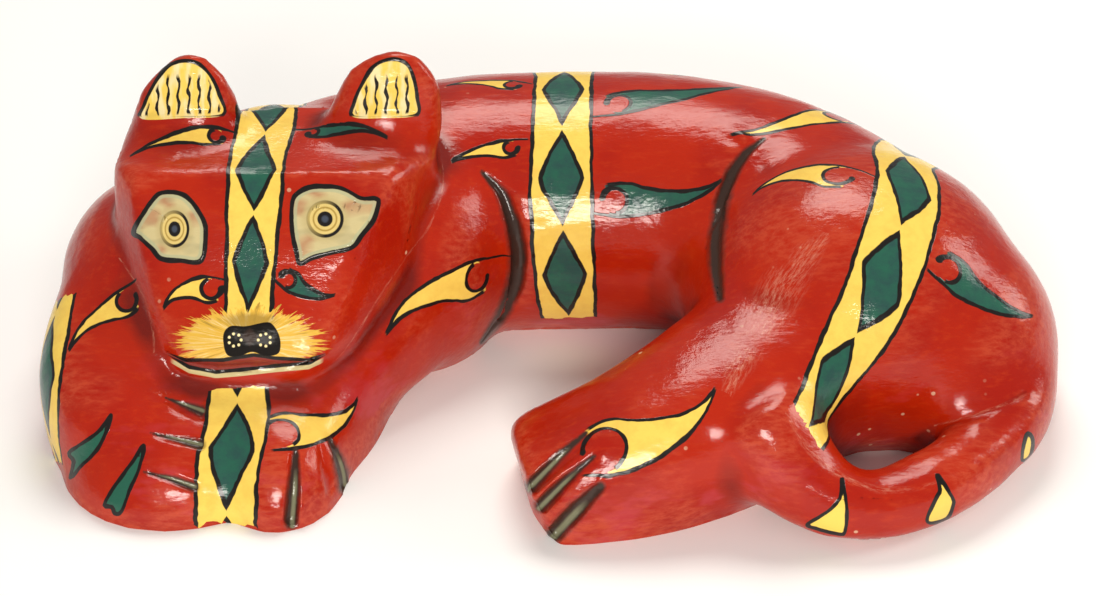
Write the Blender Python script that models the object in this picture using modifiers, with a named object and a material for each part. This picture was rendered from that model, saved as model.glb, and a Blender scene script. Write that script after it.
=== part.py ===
"""A curled-up cat, carved from one block of wood and lacquered.

The cat lies in a C: its head rests on the folded forelegs at the left, the back arches away,
the haunch is at the right, one hind leg stretches inward and the tail comes round the front
to meet it. The underside is cut flat.

+X runs from head to rump, -Y is the front that the face looks to, +Z is up. The origin is the
middle of the outline, on the ground. The figure is carved to one scale: its places and
thicknesses are given in shares, of which its length holds FIGURE_SPAN, and they all grow with
LENGTH.
"""

import math

import bmesh
import bpy
from mathutils import Matrix, Vector
from mathutils.bvhtree import BVHTree

LENGTH = 0.42
FIGURE_SPAN = 97.7
SHARE = LENGTH / FIGURE_SPAN

# The masses are joined in cells of these sizes, in shares, and then rubbed smooth.
BODY_CELL = 0.75
SKIN_CELL = 0.55
BODY_SMOOTHING = 14
SKIN_SMOOTHING = 11
# The carved skin keeps about this many triangles.
TRIANGLES = 7400
# Points closer than these, in metres, are one point.
CUT_EDGE_WELD = 0.0001
CAP_WELD = 0.000001

# The trunk and the gouge are round. The knife leaves the limbs and the tail a little square.
ROUND_SQUARENESS = 2.0
LIMB_SQUARENESS = 2.8
OUTLINE_SIDES = 48
LIMB_STEPS = 6
BALL_SIDES = 48
BALL_RINGS = 28

LACQUER_RED = (0.56, 0.035, 0.012, 1.0)
LACQUER_ROUGHNESS = 0.22

# Limbs: a route of (x, y, z, radius), all shares.
TORSO = [
    (-33.0, 4.0, 8.5, 9.5),
    (-24.5, 11.2, 9.6, 11.7),
    (-11.8, 14.8, 9.3, 13.1),
    (1.4, 15.5, 9.6, 13.3),
    (14.6, 14.2, 10.0, 13.1),
    (25.5, 8.9, 9.7, 12.5),
    (34.6, -0.4, 8.5, 11.4),
    (39.1, -5.2, 8.0, 10.3),
]
LEFT_ARM = [
    (-37.0, 6.0, 9.0, 8.0),
    (-40.0, -3.0, 7.0, 7.9),
    (-40.2, -11.4, 3.0, 7.9),
    (-36.5, -15.5, 0.8, 7.0),
]
RIGHT_ARM = [
    (-12.0, 9.0, 9.0, 9.0),
    (-15.4, 1.0, 7.0, 7.2),
    (-21.8, -8.2, 3.6, 5.8),
    (-25.1, -16.3, 0.6, 5.9),
]
HIND_LEG = [
    (28.0, -4.0, 8.0, 10.0),
    (19.5, -11.8, 6.3, 8.9),
    (10.5, -17.8, 4.2, 8.0),
    (-1.5, -20.7, 0.1, 7.1),
]
TAIL = [
    (42.5, -4.0, 6.0, 5.5),
    (43.8, -10.6, 4.6, 4.5),
    (40.5, -17.4, 3.7, 3.6),
    (34.4, -23.0, 3.3, 3.4),
    (27.3, -25.2, 3.1, 3.2),
    (22.4, -22.8, 5.0, 4.3),
    (18.3, -19.7, 9.8, 4.9),
]
ROUND_LIMBS = {"torso": TORSO}
SQUARE_LIMBS = {"left_arm": LEFT_ARM, "right_arm": RIGHT_ARM, "hind_leg": HIND_LEG, "tail": TAIL}

# Balls: (place, radii, turn about Z in degrees).
BALLS = {
    "chest": ((-28.8, -5.0, 0.5), (13.5, 18.3, 9.2), 0),
    "neck": ((-26.0, 8.0, 13.0), (13.0, 10.0, 11.3), -10),
    "left_shoulder": ((-36.6, 2.0, 9.0), (11.3, 12.0, 11.0), 20),
    "right_shoulder": ((-12.5, 7.5, 8.5), (9.5, 12.0, 12.5), -15),
    "left_paw": ((-35.2, -15.0, 0.0), (11.0, 10.5, 7.2), 0),
    "right_paw": ((-25.1, -17.0, 0.0), (6.4, 8.7, 7.2), 0),
    "haunch": ((29.4, 0.0, 8.2), (16.9, 16.2, 14.9), -25),
    "rump": ((38.2, -4.4, 5.8), (11.0, 11.8, 11.9), 0),
}

# The head is cut in planes between these corners, from the crown down to the chin. Its left
# half is the broader, and its face leans back, so that it looks up at whoever stands before it.
SKULL = {
    "crown": [(-40.5, 6.0, 24.4), (-29.0, 8.2, 25.3), (-20.0, 8.6, 25.4), (-11.1, 7.4, 24.4)],
    "brow": [(-41.2, -0.5, 24.2), (-39.3, -3.5, 24.9), (-14.5, -3.0, 24.3), (-11.4, 2.0, 24.0)],
    "cheeks": [(-41.4, -1.5, 20.0), (-38.6, -6.4, 19.8), (-17.2, -7.4, 20.5), (-10.6, 3.0, 20.8)],
    "muzzle": [(-40.4, -5.0, 15.7), (-36.8, -10.4, 15.4), (-21.4, -12.2, 14.6), (-14.0, -4.6, 13.8)],
    "lips": [(-37.0, -11.5, 10.6), (-34.2, -14.0, 11.5), (-21.6, -14.4, 11.3), (-18.2, -10.6, 10.2)],
    "chin": [(-34.0, -13.4, 7.6), (-28.8, -14.6, 7.2), (-22.8, -13.8, 7.8)],
    "nape": [(-38.0, 9.6, 14.0), (-13.0, 10.4, 14.0)],
}
SNOUT = ((-28.2, -9.6, 11.6), (9.4, 5.0, 4.6), 0)

# Ears: the middle of each, how far its tip leans aside and how full its tip is, and from root
# to tip (height, half width, half thickness).
EARS = {"left": (-34.9, 4.9, 1.2, 1.1), "right": (-16.3, 5.2, 1.8, 1.85)}
EAR_LEVELS = [(17.0, 3.0, 1.6), (23.6, 6.1, 3.2), (28.3, 4.8, 2.3), (31.0, 3.1, 1.5), (33.0, 0.9, 0.8)]
EAR_SIDES = 24

# Grooves: the gouge's path near the skin as (x, y, z, half width), all shares.
GROOVES = {
    "shoulder": [
        (-6.6, 6.4, 18.8, 0.2),
        (-4.7, 5.4, 17.1, 0.5),
        (-3.6, 4.1, 14.3, 0.7),
        (-3.0, 3.4, 11.2, 0.8),
        (-3.5, 3.3, 7.6, 0.75),
        (-5.0, 3.4, 3.6, 0.5),
    ],
    "haunch": [
        (21.9, 8.9, 22.1, 0.2),
        (19.0, 6.3, 21.0, 0.4),
        (17.3, 4.1, 19.1, 0.55),
        (16.2, 1.8, 16.5, 0.65),
        (15.6, -1.1, 14.0, 0.7),
    ],
    "tail_root": [
        (34.4, -14.8, 2.0, 0.5),
        (37.1, -16.6, 5.8, 0.5),
        (40.1, -17.0, 7.3, 0.45),
        (44.5, -14.5, 7.9, 0.2),
    ],
    "mouth": [
        (-35.6, -12.6, 10.9, 0.2),
        (-33.1, -14.0, 10.5, 0.4),
        (-30.3, -14.2, 10.3, 0.5),
        (-27.5, -14.2, 10.6, 0.5),
        (-24.6, -14.4, 10.6, 0.4),
        (-21.0, -13.8, 11.4, 0.2),
    ],
    "left_toe_upper": [(-35.4, -16.2, 8.2, 0.25), (-33.6, -16.4, 7.5, 0.45), (-31.9, -17.3, 7.0, 0.4)],
    "left_toe_middle": [(-36.5, -19.5, 6.8, 0.2), (-34.1, -19.7, 6.4, 0.45), (-31.8, -19.9, 6.0, 0.3)],
    "left_toe_lower": [(-36.8, -22.6, 4.9, 0.2), (-34.3, -23.2, 4.5, 0.45), (-31.8, -23.4, 3.6, 0.3)],
    "right_toe_inner": [(-23.3, -21.0, 6.2, 0.35), (-23.2, -23.9, 4.1, 0.7), (-23.5, -25.6, 1.0, 0.75)],
    "right_toe_outer": [(-20.3, -19.3, 6.3, 0.25), (-19.2, -21.3, 4.4, 0.5), (-18.2, -22.4, 2.0, 0.7)],
    "hind_toe_upper": [(3.0, -23.5, 9.9, 0.3), (0.5, -25.2, 8.3, 0.65), (-2.2, -25.7, 5.2, 0.7)],
    "hind_toe_middle": [(3.8, -25.4, 8.9, 0.3), (1.2, -26.6, 6.8, 0.65), (-1.6, -26.8, 3.4, 0.7)],
    "hind_toe_lower": [(4.3, -26.9, 6.4, 0.4), (2.3, -27.3, 3.8, 0.85), (0.2, -27.3, 0.8, 0.8)],
}
GOUGE_SIDES = 10
# The gouge's middle stays this share of its half width above the skin.
GOUGE_LIFT = 0.25


def clear_scene():
    for obj in list(bpy.data.objects):
        bpy.data.objects.remove(obj, do_unlink=True)


def linked(name, data, collection):
    obj = bpy.data.objects.new(name, data)
    collection.objects.link(obj)
    return obj


def helper(obj):
    """Marks an object that only shapes others."""
    obj.hide_render = True
    obj.display_type = "WIRE"
    return obj


def mesh_of(obj):
    """The object's evaluated mesh in world space, closed and facing outward."""
    bpy.context.view_layer.update()
    graph = bpy.context.evaluated_depsgraph_get()
    mesh = bpy.data.meshes.new_from_object(obj.evaluated_get(graph))
    mesh.transform(obj.matrix_world)
    work = bmesh.new()
    work.from_mesh(mesh)
    bmesh.ops.remove_doubles(work, verts=work.verts, dist=CAP_WELD)
    bmesh.ops.recalc_face_normals(work, faces=work.faces)
    work.to_mesh(mesh)
    work.free()
    return mesh


def section(name, squareness, sides, collection):
    """A limb's cross-section one share in radius: 2 is a circle, and more squares it off."""
    curve = bpy.data.curves.new(name, "CURVE")
    curve.dimensions = "2D"
    spline = curve.splines.new("POLY")
    spline.points.add(sides - 1)
    spline.use_cyclic_u = True
    for i, point in enumerate(spline.points):
        across, up = math.cos(math.tau * i / sides), math.sin(math.tau * i / sides)
        reach = SHARE / (abs(across) ** squareness + abs(up) ** squareness) ** (1 / squareness)
        point.co = (reach * across, reach * up, 0, 1)
    return helper(linked(name, curve, collection))


def limb(name, route, outline, collection):
    """A limb along a route, with its radius at each point."""
    curve = bpy.data.curves.new(name, "CURVE")
    curve.dimensions = "3D"
    curve.twist_mode = "Z_UP"
    curve.resolution_u = LIMB_STEPS
    curve.bevel_mode = "OBJECT"
    curve.bevel_object = outline
    curve.use_fill_caps = True
    spline = curve.splines.new("BEZIER")
    spline.bezier_points.add(len(route) - 1)
    spline.radius_interpolation = "CARDINAL"
    for point, (x, y, z, radius) in zip(spline.bezier_points, route):
        point.co = Vector((x, y, z)) * SHARE
        point.radius = radius
        point.handle_left_type = "AUTO"
        point.handle_right_type = "AUTO"
    return helper(linked(name, curve, collection))


def ball(name, place, radii, turn, collection):
    """A stretched ball, turned about the vertical."""
    mesh = bpy.data.meshes.new(name)
    work = bmesh.new()
    bmesh.ops.create_uvsphere(work, u_segments=BALL_SIDES, v_segments=BALL_RINGS, radius=SHARE)
    bmesh.ops.scale(work, vec=radii, verts=work.verts)
    work.to_mesh(mesh)
    work.free()
    obj = helper(linked(name, mesh, collection))
    obj.location = Vector(place) * SHARE
    obj.rotation_euler.z = math.radians(turn)
    return obj


def hull(name, corners, collection):
    """The block that flat cuts leave between the corners."""
    mesh = bpy.data.meshes.new(name)
    work = bmesh.new()
    for corner in corners:
        work.verts.new(Vector(corner) * SHARE)
    bmesh.ops.convex_hull(work, input=work.verts)
    work.to_mesh(mesh)
    work.free()
    return helper(linked(name, mesh, collection))


def ear(name, place, collection):
    """An upright, flattened cone with a blunt tip, as rings from its root to its tip."""
    x, y, lean, fullness = place
    root, tip = EAR_LEVELS[1][0], EAR_LEVELS[-1][0]
    corners = []
    for height, wide, deep in EAR_LEVELS:
        rise = max(0.0, (height - root) / (tip - root))
        reach = wide * (1 + (fullness - 1) * rise**3)
        for side in range(EAR_SIDES):
            turn = math.tau * side / EAR_SIDES
            corners.append((x + lean * rise + reach * math.cos(turn), y + deep * math.sin(turn), height))
    return hull(name, corners, collection)


def together(name, meshes, collection):
    """One object that holds all of the meshes."""
    work = bmesh.new()
    for mesh in meshes:
        work.from_mesh(mesh)
    mesh = bpy.data.meshes.new(name)
    work.to_mesh(mesh)
    work.free()
    return helper(linked(name, mesh, collection))


def fused(name, meshes, cell, smoothing, collection):
    """Joins overlapping meshes into one skin, and rubs it smooth."""
    obj = together(name, meshes, collection)
    join = obj.modifiers.new("Join", "REMESH")
    join.mode = "VOXEL"
    join.voxel_size = cell * SHARE
    rub = obj.modifiers.new("Rub", "SMOOTH")
    rub.factor = 0.5
    rub.iterations = smoothing
    return mesh_of(obj)


def body_skin(masses):
    """Trunk, legs and tail as one smooth body."""
    round_outline = section("round_outline", ROUND_SQUARENESS, OUTLINE_SIDES, masses)
    square_outline = section("square_outline", LIMB_SQUARENESS, OUTLINE_SIDES, masses)
    shapes = [limb(name, route, round_outline, masses) for name, route in ROUND_LIMBS.items()]
    shapes += [limb(name, route, square_outline, masses) for name, route in SQUARE_LIMBS.items()]
    shapes += [ball(name, *size, masses) for name, size in BALLS.items()]
    return fused("body", [mesh_of(shape) for shape in shapes], BODY_CELL, BODY_SMOOTHING, masses)


def head_shapes(masses):
    """Skull, snout and ears."""
    corners = [corner for level in SKULL.values() for corner in level]
    shapes = [hull("skull", corners, masses), ball("snout", *SNOUT, masses)]
    shapes += [ear(f"{side}_ear", place, masses) for side, place in EARS.items()]
    return [mesh_of(shape) for shape in shapes]


def groove(name, path, skin, gouge, cutters):
    """A gouge's path, with its points brought onto the skin."""
    near = []
    for x, y, z, half_width in path:
        place, normal, _, _ = skin.find_nearest(Vector((x, y, z)) * SHARE)
        raised = place / SHARE + normal * half_width * GOUGE_LIFT
        near.append((*raised, half_width))
    return limb(name, near, gouge, cutters)


def cut(obj, name, cutter):
    """Cuts one object out of another."""
    step = obj.modifiers.new(name, "BOOLEAN")
    step.operation = "DIFFERENCE"
    step.object = cutter


def ground(cutters):
    """The block below the ground, which trims the underside flat."""
    bpy.ops.mesh.primitive_cube_add(size=2 * LENGTH, location=(0, 0, -LENGTH))
    block = helper(bpy.context.object)
    block.name = "ground"
    for holder in block.users_collection:
        holder.objects.unlink(block)
    cutters.objects.link(block)
    return block


def lacquer():
    material = bpy.data.materials.new("red_lacquer")
    material.use_nodes = True
    shader = material.node_tree.nodes["Principled BSDF"]
    shader.inputs["Base Color"].default_value = LACQUER_RED
    shader.inputs["Roughness"].default_value = LACQUER_ROUGHNESS
    shader.inputs["Metallic"].default_value = 0.0
    return material


def carved_cat(shown, masses, cutters):
    """The whole animal: masses joined, thinned out, grooved and cut flat below."""
    skin = fused("skin", [body_skin(masses), *head_shapes(masses)], SKIN_CELL, SKIN_SMOOTHING, masses)
    cat = linked("carved_cat", skin, shown)
    cat.data.materials.append(lacquer())
    thin = cat.modifiers.new("Thin out", "DECIMATE")
    thin.ratio = TRIANGLES / (2 * len(skin.polygons))
    surface = BVHTree.FromObject(cat, bpy.context.evaluated_depsgraph_get())
    gouge = section("gouge", ROUND_SQUARENESS, GOUGE_SIDES, cutters)
    paths = [groove(name, path, surface, gouge, cutters) for name, path in GROOVES.items()]
    cut(cat, "Grooves", together("grooves", [mesh_of(path) for path in paths], cutters))
    cut(cat, "Underside", ground(cutters))
    weld = cat.modifiers.new("Weld", "WELD")
    weld.merge_threshold = CUT_EDGE_WELD
    return cat


def centred(cat, cutters):
    """Moves the cat and its cutters together, so that its outline is centred on the origin."""
    bpy.context.view_layer.update()
    finished = cat.evaluated_get(bpy.context.evaluated_depsgraph_get())
    low = Vector(map(min, zip(*finished.bound_box)))
    high = Vector(map(max, zip(*finished.bound_box)))
    figure = linked("figure", None, bpy.context.scene.collection)
    figure.location = (-(low.x + high.x) / 2, -(low.y + high.y) / 2, 0)
    for obj in (cat, *cutters.objects):
        obj.parent = figure


def main():
    clear_scene()
    shown, masses, cutters = (bpy.data.collections.new(name) for name in ("curled_cat", "masses", "cutters"))
    for collection in (shown, masses, cutters):
        bpy.context.scene.collection.children.link(collection)
    centred(carved_cat(shown, masses, cutters), cutters)


main()
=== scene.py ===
"""Dresses the carved cat: its fine relief, red lacquer, painted bands, leaves and face, and the
pale studio that it lies in. It is laid out as an add-on and run as a script."""

import math

import bmesh
import bpy
import numpy as np
from bpy.props import FloatProperty, FloatVectorProperty, IntProperty, PointerProperty
from mathutils import Matrix, Vector, noise
from mathutils.bvhtree import BVHTree
from mathutils.kdtree import KDTree


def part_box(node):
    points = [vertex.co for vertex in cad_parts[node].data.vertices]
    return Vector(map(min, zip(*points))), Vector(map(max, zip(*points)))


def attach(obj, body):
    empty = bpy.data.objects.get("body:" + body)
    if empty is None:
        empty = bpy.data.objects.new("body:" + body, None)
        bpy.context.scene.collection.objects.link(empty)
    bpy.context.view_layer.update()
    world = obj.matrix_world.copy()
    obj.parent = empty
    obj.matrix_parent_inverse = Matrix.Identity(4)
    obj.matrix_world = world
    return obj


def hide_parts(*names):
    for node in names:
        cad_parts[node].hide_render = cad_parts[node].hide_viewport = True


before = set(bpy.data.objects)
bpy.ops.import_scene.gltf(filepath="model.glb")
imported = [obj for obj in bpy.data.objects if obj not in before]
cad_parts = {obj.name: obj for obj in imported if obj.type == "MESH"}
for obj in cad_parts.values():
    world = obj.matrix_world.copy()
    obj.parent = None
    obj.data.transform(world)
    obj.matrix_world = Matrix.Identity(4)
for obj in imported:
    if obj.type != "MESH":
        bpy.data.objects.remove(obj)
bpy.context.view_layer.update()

bl_info = {
    "name": "Lacquered carved cat",
    "version": (1, 0, 0),
    "blender": (4, 5, 0),
    "location": "3D View > Sidebar > Carved cat",
    "description": "Refines the carving of a curled wooden cat, paints it and lights it",
    "category": "Object",
}

NODE = "carved_cat"
# Points nearer than this are one.
MERGE = 0.000001

# The picture that places are read from: its size, the figure's width in it, and its camera.
PICTURE = (1100, 596)
FIGURE_PIXELS = 1023
LENS = 80.0
SENSOR = 36.0
ELEVATION = math.radians(35)
# How much longer the figure would have to be to fill its pixels at the distance that is aimed at.
LENS_SHARE = 1.0234
LENGTH = (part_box(NODE)[1][0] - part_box(NODE)[0][0]) * LENS_SHARE
PIXEL = LENGTH / FIGURE_PIXELS
DISTANCE = PIXEL * PICTURE[0] * LENS / SENSOR
# The place that the camera looks at.
AIM = Vector((-0.0006, -0.0013, 0.0833 * LENGTH))

# Painted bands. Places are pixels down the middle, with the band's half width there. Marks count
# the lozenges: a whole number where one ends and the next begins, a half where one is widest.
# Before: a middle, an axis and the degrees by which the band goes on round behind. Lean: how far
# a lozenge's corners are shifted along. End: two places of the line that the band stops at.
BANDS = {
    "face": {
        "seen": [
            (273, 106, 27), (266, 130, 27), (258, 155, 26), (255, 187, 26), (252, 240, 24), (249, 285, 22),
            (248, 318, 22),
        ],
        "marks": [((266, 133), 0), ((257, 170), 0.5), ((255, 213), 1), ((250, 262), 1.5), ((247, 314), 2)],
        "before": ((-0.112, 0.005, 0.070), (1, 0, 0), 75),
        "lean": 0.0,
    },
    "body": {
        "seen": [
            (564, 76, 29), (562, 123, 29), (561, 186, 31), (563, 249, 30), (566, 291, 30), (569, 317, 27),
        ],
        "marks": [((562, 128), 0), ((561, 178), 0.5), ((563, 230), 1), ((567, 274), 1.5), ((569, 319), 2)],
        "before": ((0.006, 0.068, 0.040), (1, 0, 0), 130),
        "lean": 0.0,
    },
    "haunch": {
        "seen": [
            (903, 158, 29), (909, 174, 31), (907, 203, 32), (895, 246, 33), (875, 301, 31), (861, 327, 30),
            (844, 359, 27), (821, 403, 26), (806, 430, 25),
        ],
        "marks": [
            ((905, 156), 0), ((909, 183), 0.5), ((899, 226), 1), ((879, 283), 1.5), ((856, 336), 2),
            ((833, 383), 2.5), ((808, 428), 3),
        ],
        "before": ((0.126, 0.0, 0.035), (1, -0.3, 0), 130),
        "lean": 0.16,
        "end": ((786, 392), (820, 448)),
    },
    "shoulder": {
        "seen": [
            (60, 300, 20), (52, 325, 25), (45, 355, 29), (43, 380, 31), (45, 405, 30), (49, 432, 27),
            (58, 460, 18),
        ],
        "marks": [((56, 314), 0), ((44, 378), 0.5), ((52, 442), 1)],
        "lean": 0.0,
    },
    "paw": {
        "seen": [
            (238, 389, 27), (238, 402, 29), (236, 435, 30), (230, 460, 30), (228, 480, 29), (227, 500, 28),
            (227, 520, 28),
        ],
        "marks": [((237, 400), 0), ((231, 452), 0.5), ((226, 512), 1)],
        "lean": 0.0,
    },
}
# The steps that a band is drawn in, and how far round it the skin is measured, in metres.
BAND_STEP = 0.0015
BAND_MARGIN = 0.02

# Leaves: the tip, the middle of the hook's curl, which side the curl is on, the width, all in
# pixels, the colour, and how far the stem runs on, as a share of the way from tip to curl. The
# side is +1 where the curl lies to the right of someone who looks from the tip to the curl.
YELLOW, GREEN = 0, 1
LEAVES = [
    ((386, 334), (478, 279), 1, 40, YELLOW, 1.45),
    ((752, 195), (838, 176), 1, 39, YELLOW, 1.5),
    ((730, 135), (835, 116), -1, 34, YELLOW, 1.4),
    ((742, 87), (618, 102), 1, 34, GREEN, 1.4),
    ((722, 179), (614, 199), 1, 34, GREEN, 1.4),
    ((446, 86), (512, 85), 1, 22, YELLOW, 1.3),
    ((451, 162), (511, 148), 1, 19, YELLOW, 1.3),
    ((130, 156), (216, 137), 1, 18, YELLOW, 1.35),
    ((388, 138), (313, 133), -1, 14, GREEN, 1.35),
    ((163, 309), (212, 290), 1, 27, YELLOW, 1.4),
    ((335, 295), (288, 279), 1, 20, GREEN, 1.25),
    ((69, 351), (128, 301), 1, 29, YELLOW, 1.3),
    ((358, 398), (281, 431), 1, 43, YELLOW, 1.2),
    ((715, 388), (603, 446), 1, 56, YELLOW, 1.25),
    ((1033, 316), (949, 268), 1, 36, GREEN, 1.2),
]
# The plainer leaves of the far side, in pixels of a picture that is taken from behind.
FAR_LEAVES = [
    ((248, 318), (345, 300), -1, 30, YELLOW, 1.4),
    ((470, 420), (372, 436), -1, 32, GREEN, 1.4),
    ((215, 408), (295, 424), 1, 26, GREEN, 1.3),
    ((470, 322), (398, 312), 1, 22, YELLOW, 1.35),
    ((612, 352), (712, 338), -1, 28, GREEN, 1.4),
    ((800, 428), (700, 446), -1, 32, YELLOW, 1.4),
    ((930, 352), (985, 318), 1, 26, YELLOW, 1.3),
    ((76, 300), (132, 262), 1, 26, GREEN, 1.3),
]
# How far past the tip a leaf's stem may run, in lengths from tip to curl.
LEAF_REACH = 1.5
# A hooked leaf's two long lines, as how far along it and how far to the hook's side.
STEM_LINE = [
    (0, 0), (0.15, -0.28), (0.34, -0.48), (0.6, -0.58), (0.8, -0.58), (1, -0.5), (1.2, -0.3), (1.5, 0.1),
]
HOOK_LINE = [
    (0, 0), (0.15, -0.14), (0.3, -0.16), (0.5, -0.06), (0.7, 0.16), (0.85, 0.38), (1, 0.43), (1.5, 0.43),
]

# Small leaves and drops, by their outlines in pixels.
SMALL_LEAVES = {
    GREEN: [
        [
            (111, 415), (106, 433), (96, 451), (83, 464), (70, 478), (74, 462), (69, 453), (83, 443),
            (100, 430),
        ],
        [
            (144, 445), (139, 469), (129, 491), (122, 511), (115, 514), (112, 507), (104, 505), (114, 487),
            (133, 461),
        ],
    ],
    YELLOW: [
        [(842, 479), (847, 508), (845, 530), (839, 534), (810, 527), (809, 523), (826, 513), (840, 498)],
        [(937, 474), (952, 497), (953, 506), (947, 519), (930, 523), (928, 517), (936, 498), (940, 490)],
        [(1028, 433), (1033, 441), (1030, 456), (1022, 460), (1024, 443)],
    ],
}

# Gouged lines: places on the skin in pixels, half widths in millimetres, and whether the bottom
# of the groove is filled with grey-green.
GOUGES = {
    "shoulder": (
        [(482, 172), (502, 193), (513, 224), (519, 254), (515, 285), (502, 315), (482, 342)],
        [1, 2.7, 3.6, 4.0, 3.9, 3.2, 1.4], 0,
    ),
    "haunch": (
        [(764, 139), (746, 153), (731, 174), (721, 205), (716, 240), (716, 268), (720, 298)],
        [1, 2.2, 3.0, 3.5, 3.7, 3.4, 2.0], 0,
    ),
    "left_toe_upper": ([(166, 398), (185, 405), (201, 411)], [0.6, 1.5, 2.5], 1),
    "left_toe_middle": ([(151, 433), (180, 440), (199, 445)], [0.6, 1.6, 2.6], 1),
    "left_toe_lower": ([(144, 472), (172, 479), (193, 487)], [0.6, 1.6, 2.5], 1),
    "right_toe_inner": ([(296, 449), (294, 485), (291, 523)], [1.2, 3.0, 3.0], 1),
    "right_toe_outer": ([(330, 440), (340, 463), (345, 486)], [1.4, 3.0, 3.8], 1),
    "hind_toe_upper": ([(586, 433), (558, 457), (529, 487)], [1.0, 2.4, 3.0], 1),
    "hind_toe_middle": ([(594, 456), (565, 481), (540, 506)], [1.0, 2.4, 3.0], 1),
    "hind_toe_lower": ([(600, 487), (575, 511), (552, 536)], [2.4, 4.2, 4.0], 1),
}

# The face, in pixels.
EYES = {
    "left": [
        (134, 232), (141, 218), (154, 199), (163, 193), (180, 194), (192, 203), (202, 219), (205, 232),
        (201, 260), (180, 260), (161, 258), (152, 248), (140, 237),
    ],
    "right": [
        (300, 263), (297, 252), (293, 232), (292, 212), (295, 197), (309, 188), (332, 187), (347, 191),
        (361, 199), (376, 199), (378, 204), (373, 220), (361, 235), (351, 247), (327, 253), (310, 258),
    ],
}
IRISES = {"left": (174.5, 229, 13.5, 17.0), "right": (325, 219, 17.0, 17.0)}
# The directions of the pink-brown wedges round each iris, in radians.
EYE_WEDGES = (-2.75, -1.9, -0.5, 2.2)
NOSE = [
    (223, 336), (230, 326), (247, 326), (267, 322), (275, 327), (280, 338), (279, 353), (266, 356),
    (252, 352), (240, 356), (227, 355),
]
# The nostrils' middle across and down, and how far each is from it; their dots' ring, how many
# dots each has, and a dot's size.
NOSTRILS = (249.7, 340, 14.8)
NOSTRIL_RING, NOSTRIL_DOTS, NOSTRIL_DOT = 6.2, 7, 1.45
# The share of the clear coat that the nose lacks.
MATT_NOSE = 0.85
# The muzzle and the shade on its bridge: the middle, and how far each reaches across and down.
MUZZLE = (250, 342, 80, 37)
BRIDGE = (250, 321, 30, 9)
# The strokes in the ears' linings: where they are counted from, and from one to the next.
STROKES = (142.0, 10.4)
UPPER_LIP = [(168, 353), (185, 360), (223, 360), (240, 357), (254, 355), (275, 358), (309, 360), (326, 353)]
LOWER_LIP = [(168, 355), (189, 367), (216, 372), (240, 370), (275, 366), (309, 363), (328, 354)]
LININGS = [
    [
        (142, 119), (144, 105), (153, 86), (166, 68), (181, 61), (197, 63), (210, 75), (219, 94),
        (223, 115), (184, 118),
    ],
    [
        (353, 117), (354, 103), (361, 86), (374, 66), (392, 59), (407, 64), (414, 79), (417, 97),
        (417, 115), (385, 118),
    ],
]
HEAD = [
    (106, 100), (120, 40), (215, 40), (250, 95), (330, 90), (350, 40), (430, 40), (450, 100), (452, 190),
    (424, 240), (380, 320), (345, 384), (150, 384), (128, 290), (106, 220),
]
# Places where the knife was followed by a rasp, so that no fold is left: how many times they are
# rubbed, and their outlines in pixels.
EASED = [
    (45, [(136, 178), (250, 176), (384, 172), (376, 240), (342, 300), (318, 345), (180, 345), (152, 290)]),
    (90, [(110, 163), (122, 112), (180, 110), (236, 108), (262, 165), (180, 165)]),
    (90, [(262, 164), (330, 112), (385, 110), (428, 112), (442, 156), (385, 161)]),
    (80, [(655, 225), (695, 195), (735, 215), (742, 300), (700, 326), (652, 312)]),
    (50, [(738, 108), (775, 98), (830, 108), (828, 150), (770, 168), (748, 150)]),
]
# Places that are painted finely: a box in pixels, and the longest edge there in metres.
FINE = [
    ((130, 188, 208, 264), 0.0009),
    ((289, 184, 381, 266), 0.0009),
    ((218, 320, 285, 360), 0.0010),
    ((164, 348, 332, 378), 0.0011),
    ((138, 56, 228, 122), 0.0015),
    ((348, 54, 422, 122), 0.0015),
    ((64, 408, 150, 518), 0.0015),
    ((804, 474, 958, 538), 0.0015),
    ((1018, 428, 1038, 464), 0.0015),
]
# Near the grooves: the longest edge, how near counts, and the edges that are too long to ask.
GROOVE_EDGE = 0.0015
GROOVE_REACH = 0.0045
LONG_EDGE = 0.02
# How round the skin is made, each time that its long edges are divided.
ROUNDING = (0.6, 0.6, 0.3, 0.0, 0.0, 0.0)
# Edges shorter than this are closed up.
SHORTEST = 0.0003
# Triangles that meet at less than this angle, in radians, may be paired anew.
FLAT_ANGLE = 0.35
# Heights in metres: the skin below the first is left alone, folds are rubbed and the knife is
# used above the next two, and no worked point is pushed below the last.
GROUND = 0.0005
FOLD_START = 0.0008
KNIFE_START = 0.001
LOWEST = 0.0003
# How far back the skin is looked at for fine edges, eased places, ears and paint, in metres.
FINE_BACK, EASED_BACK, EARS_BACK, PAINT_BACK = 0.06, 0.09, 0.05, 0.08
# A gouged line is drawn on the skin in steps of this many pixels.
GOUGE_PIXELS = 5.0
# How far round a gouged line its paint is measured in pixels, and its depth in metres.
GOUGE_MARGIN = 16
GOUGE_DEPTH_MARGIN = 0.006
# How many places are measured against a line at a time.
BLOCK = 4000

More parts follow.
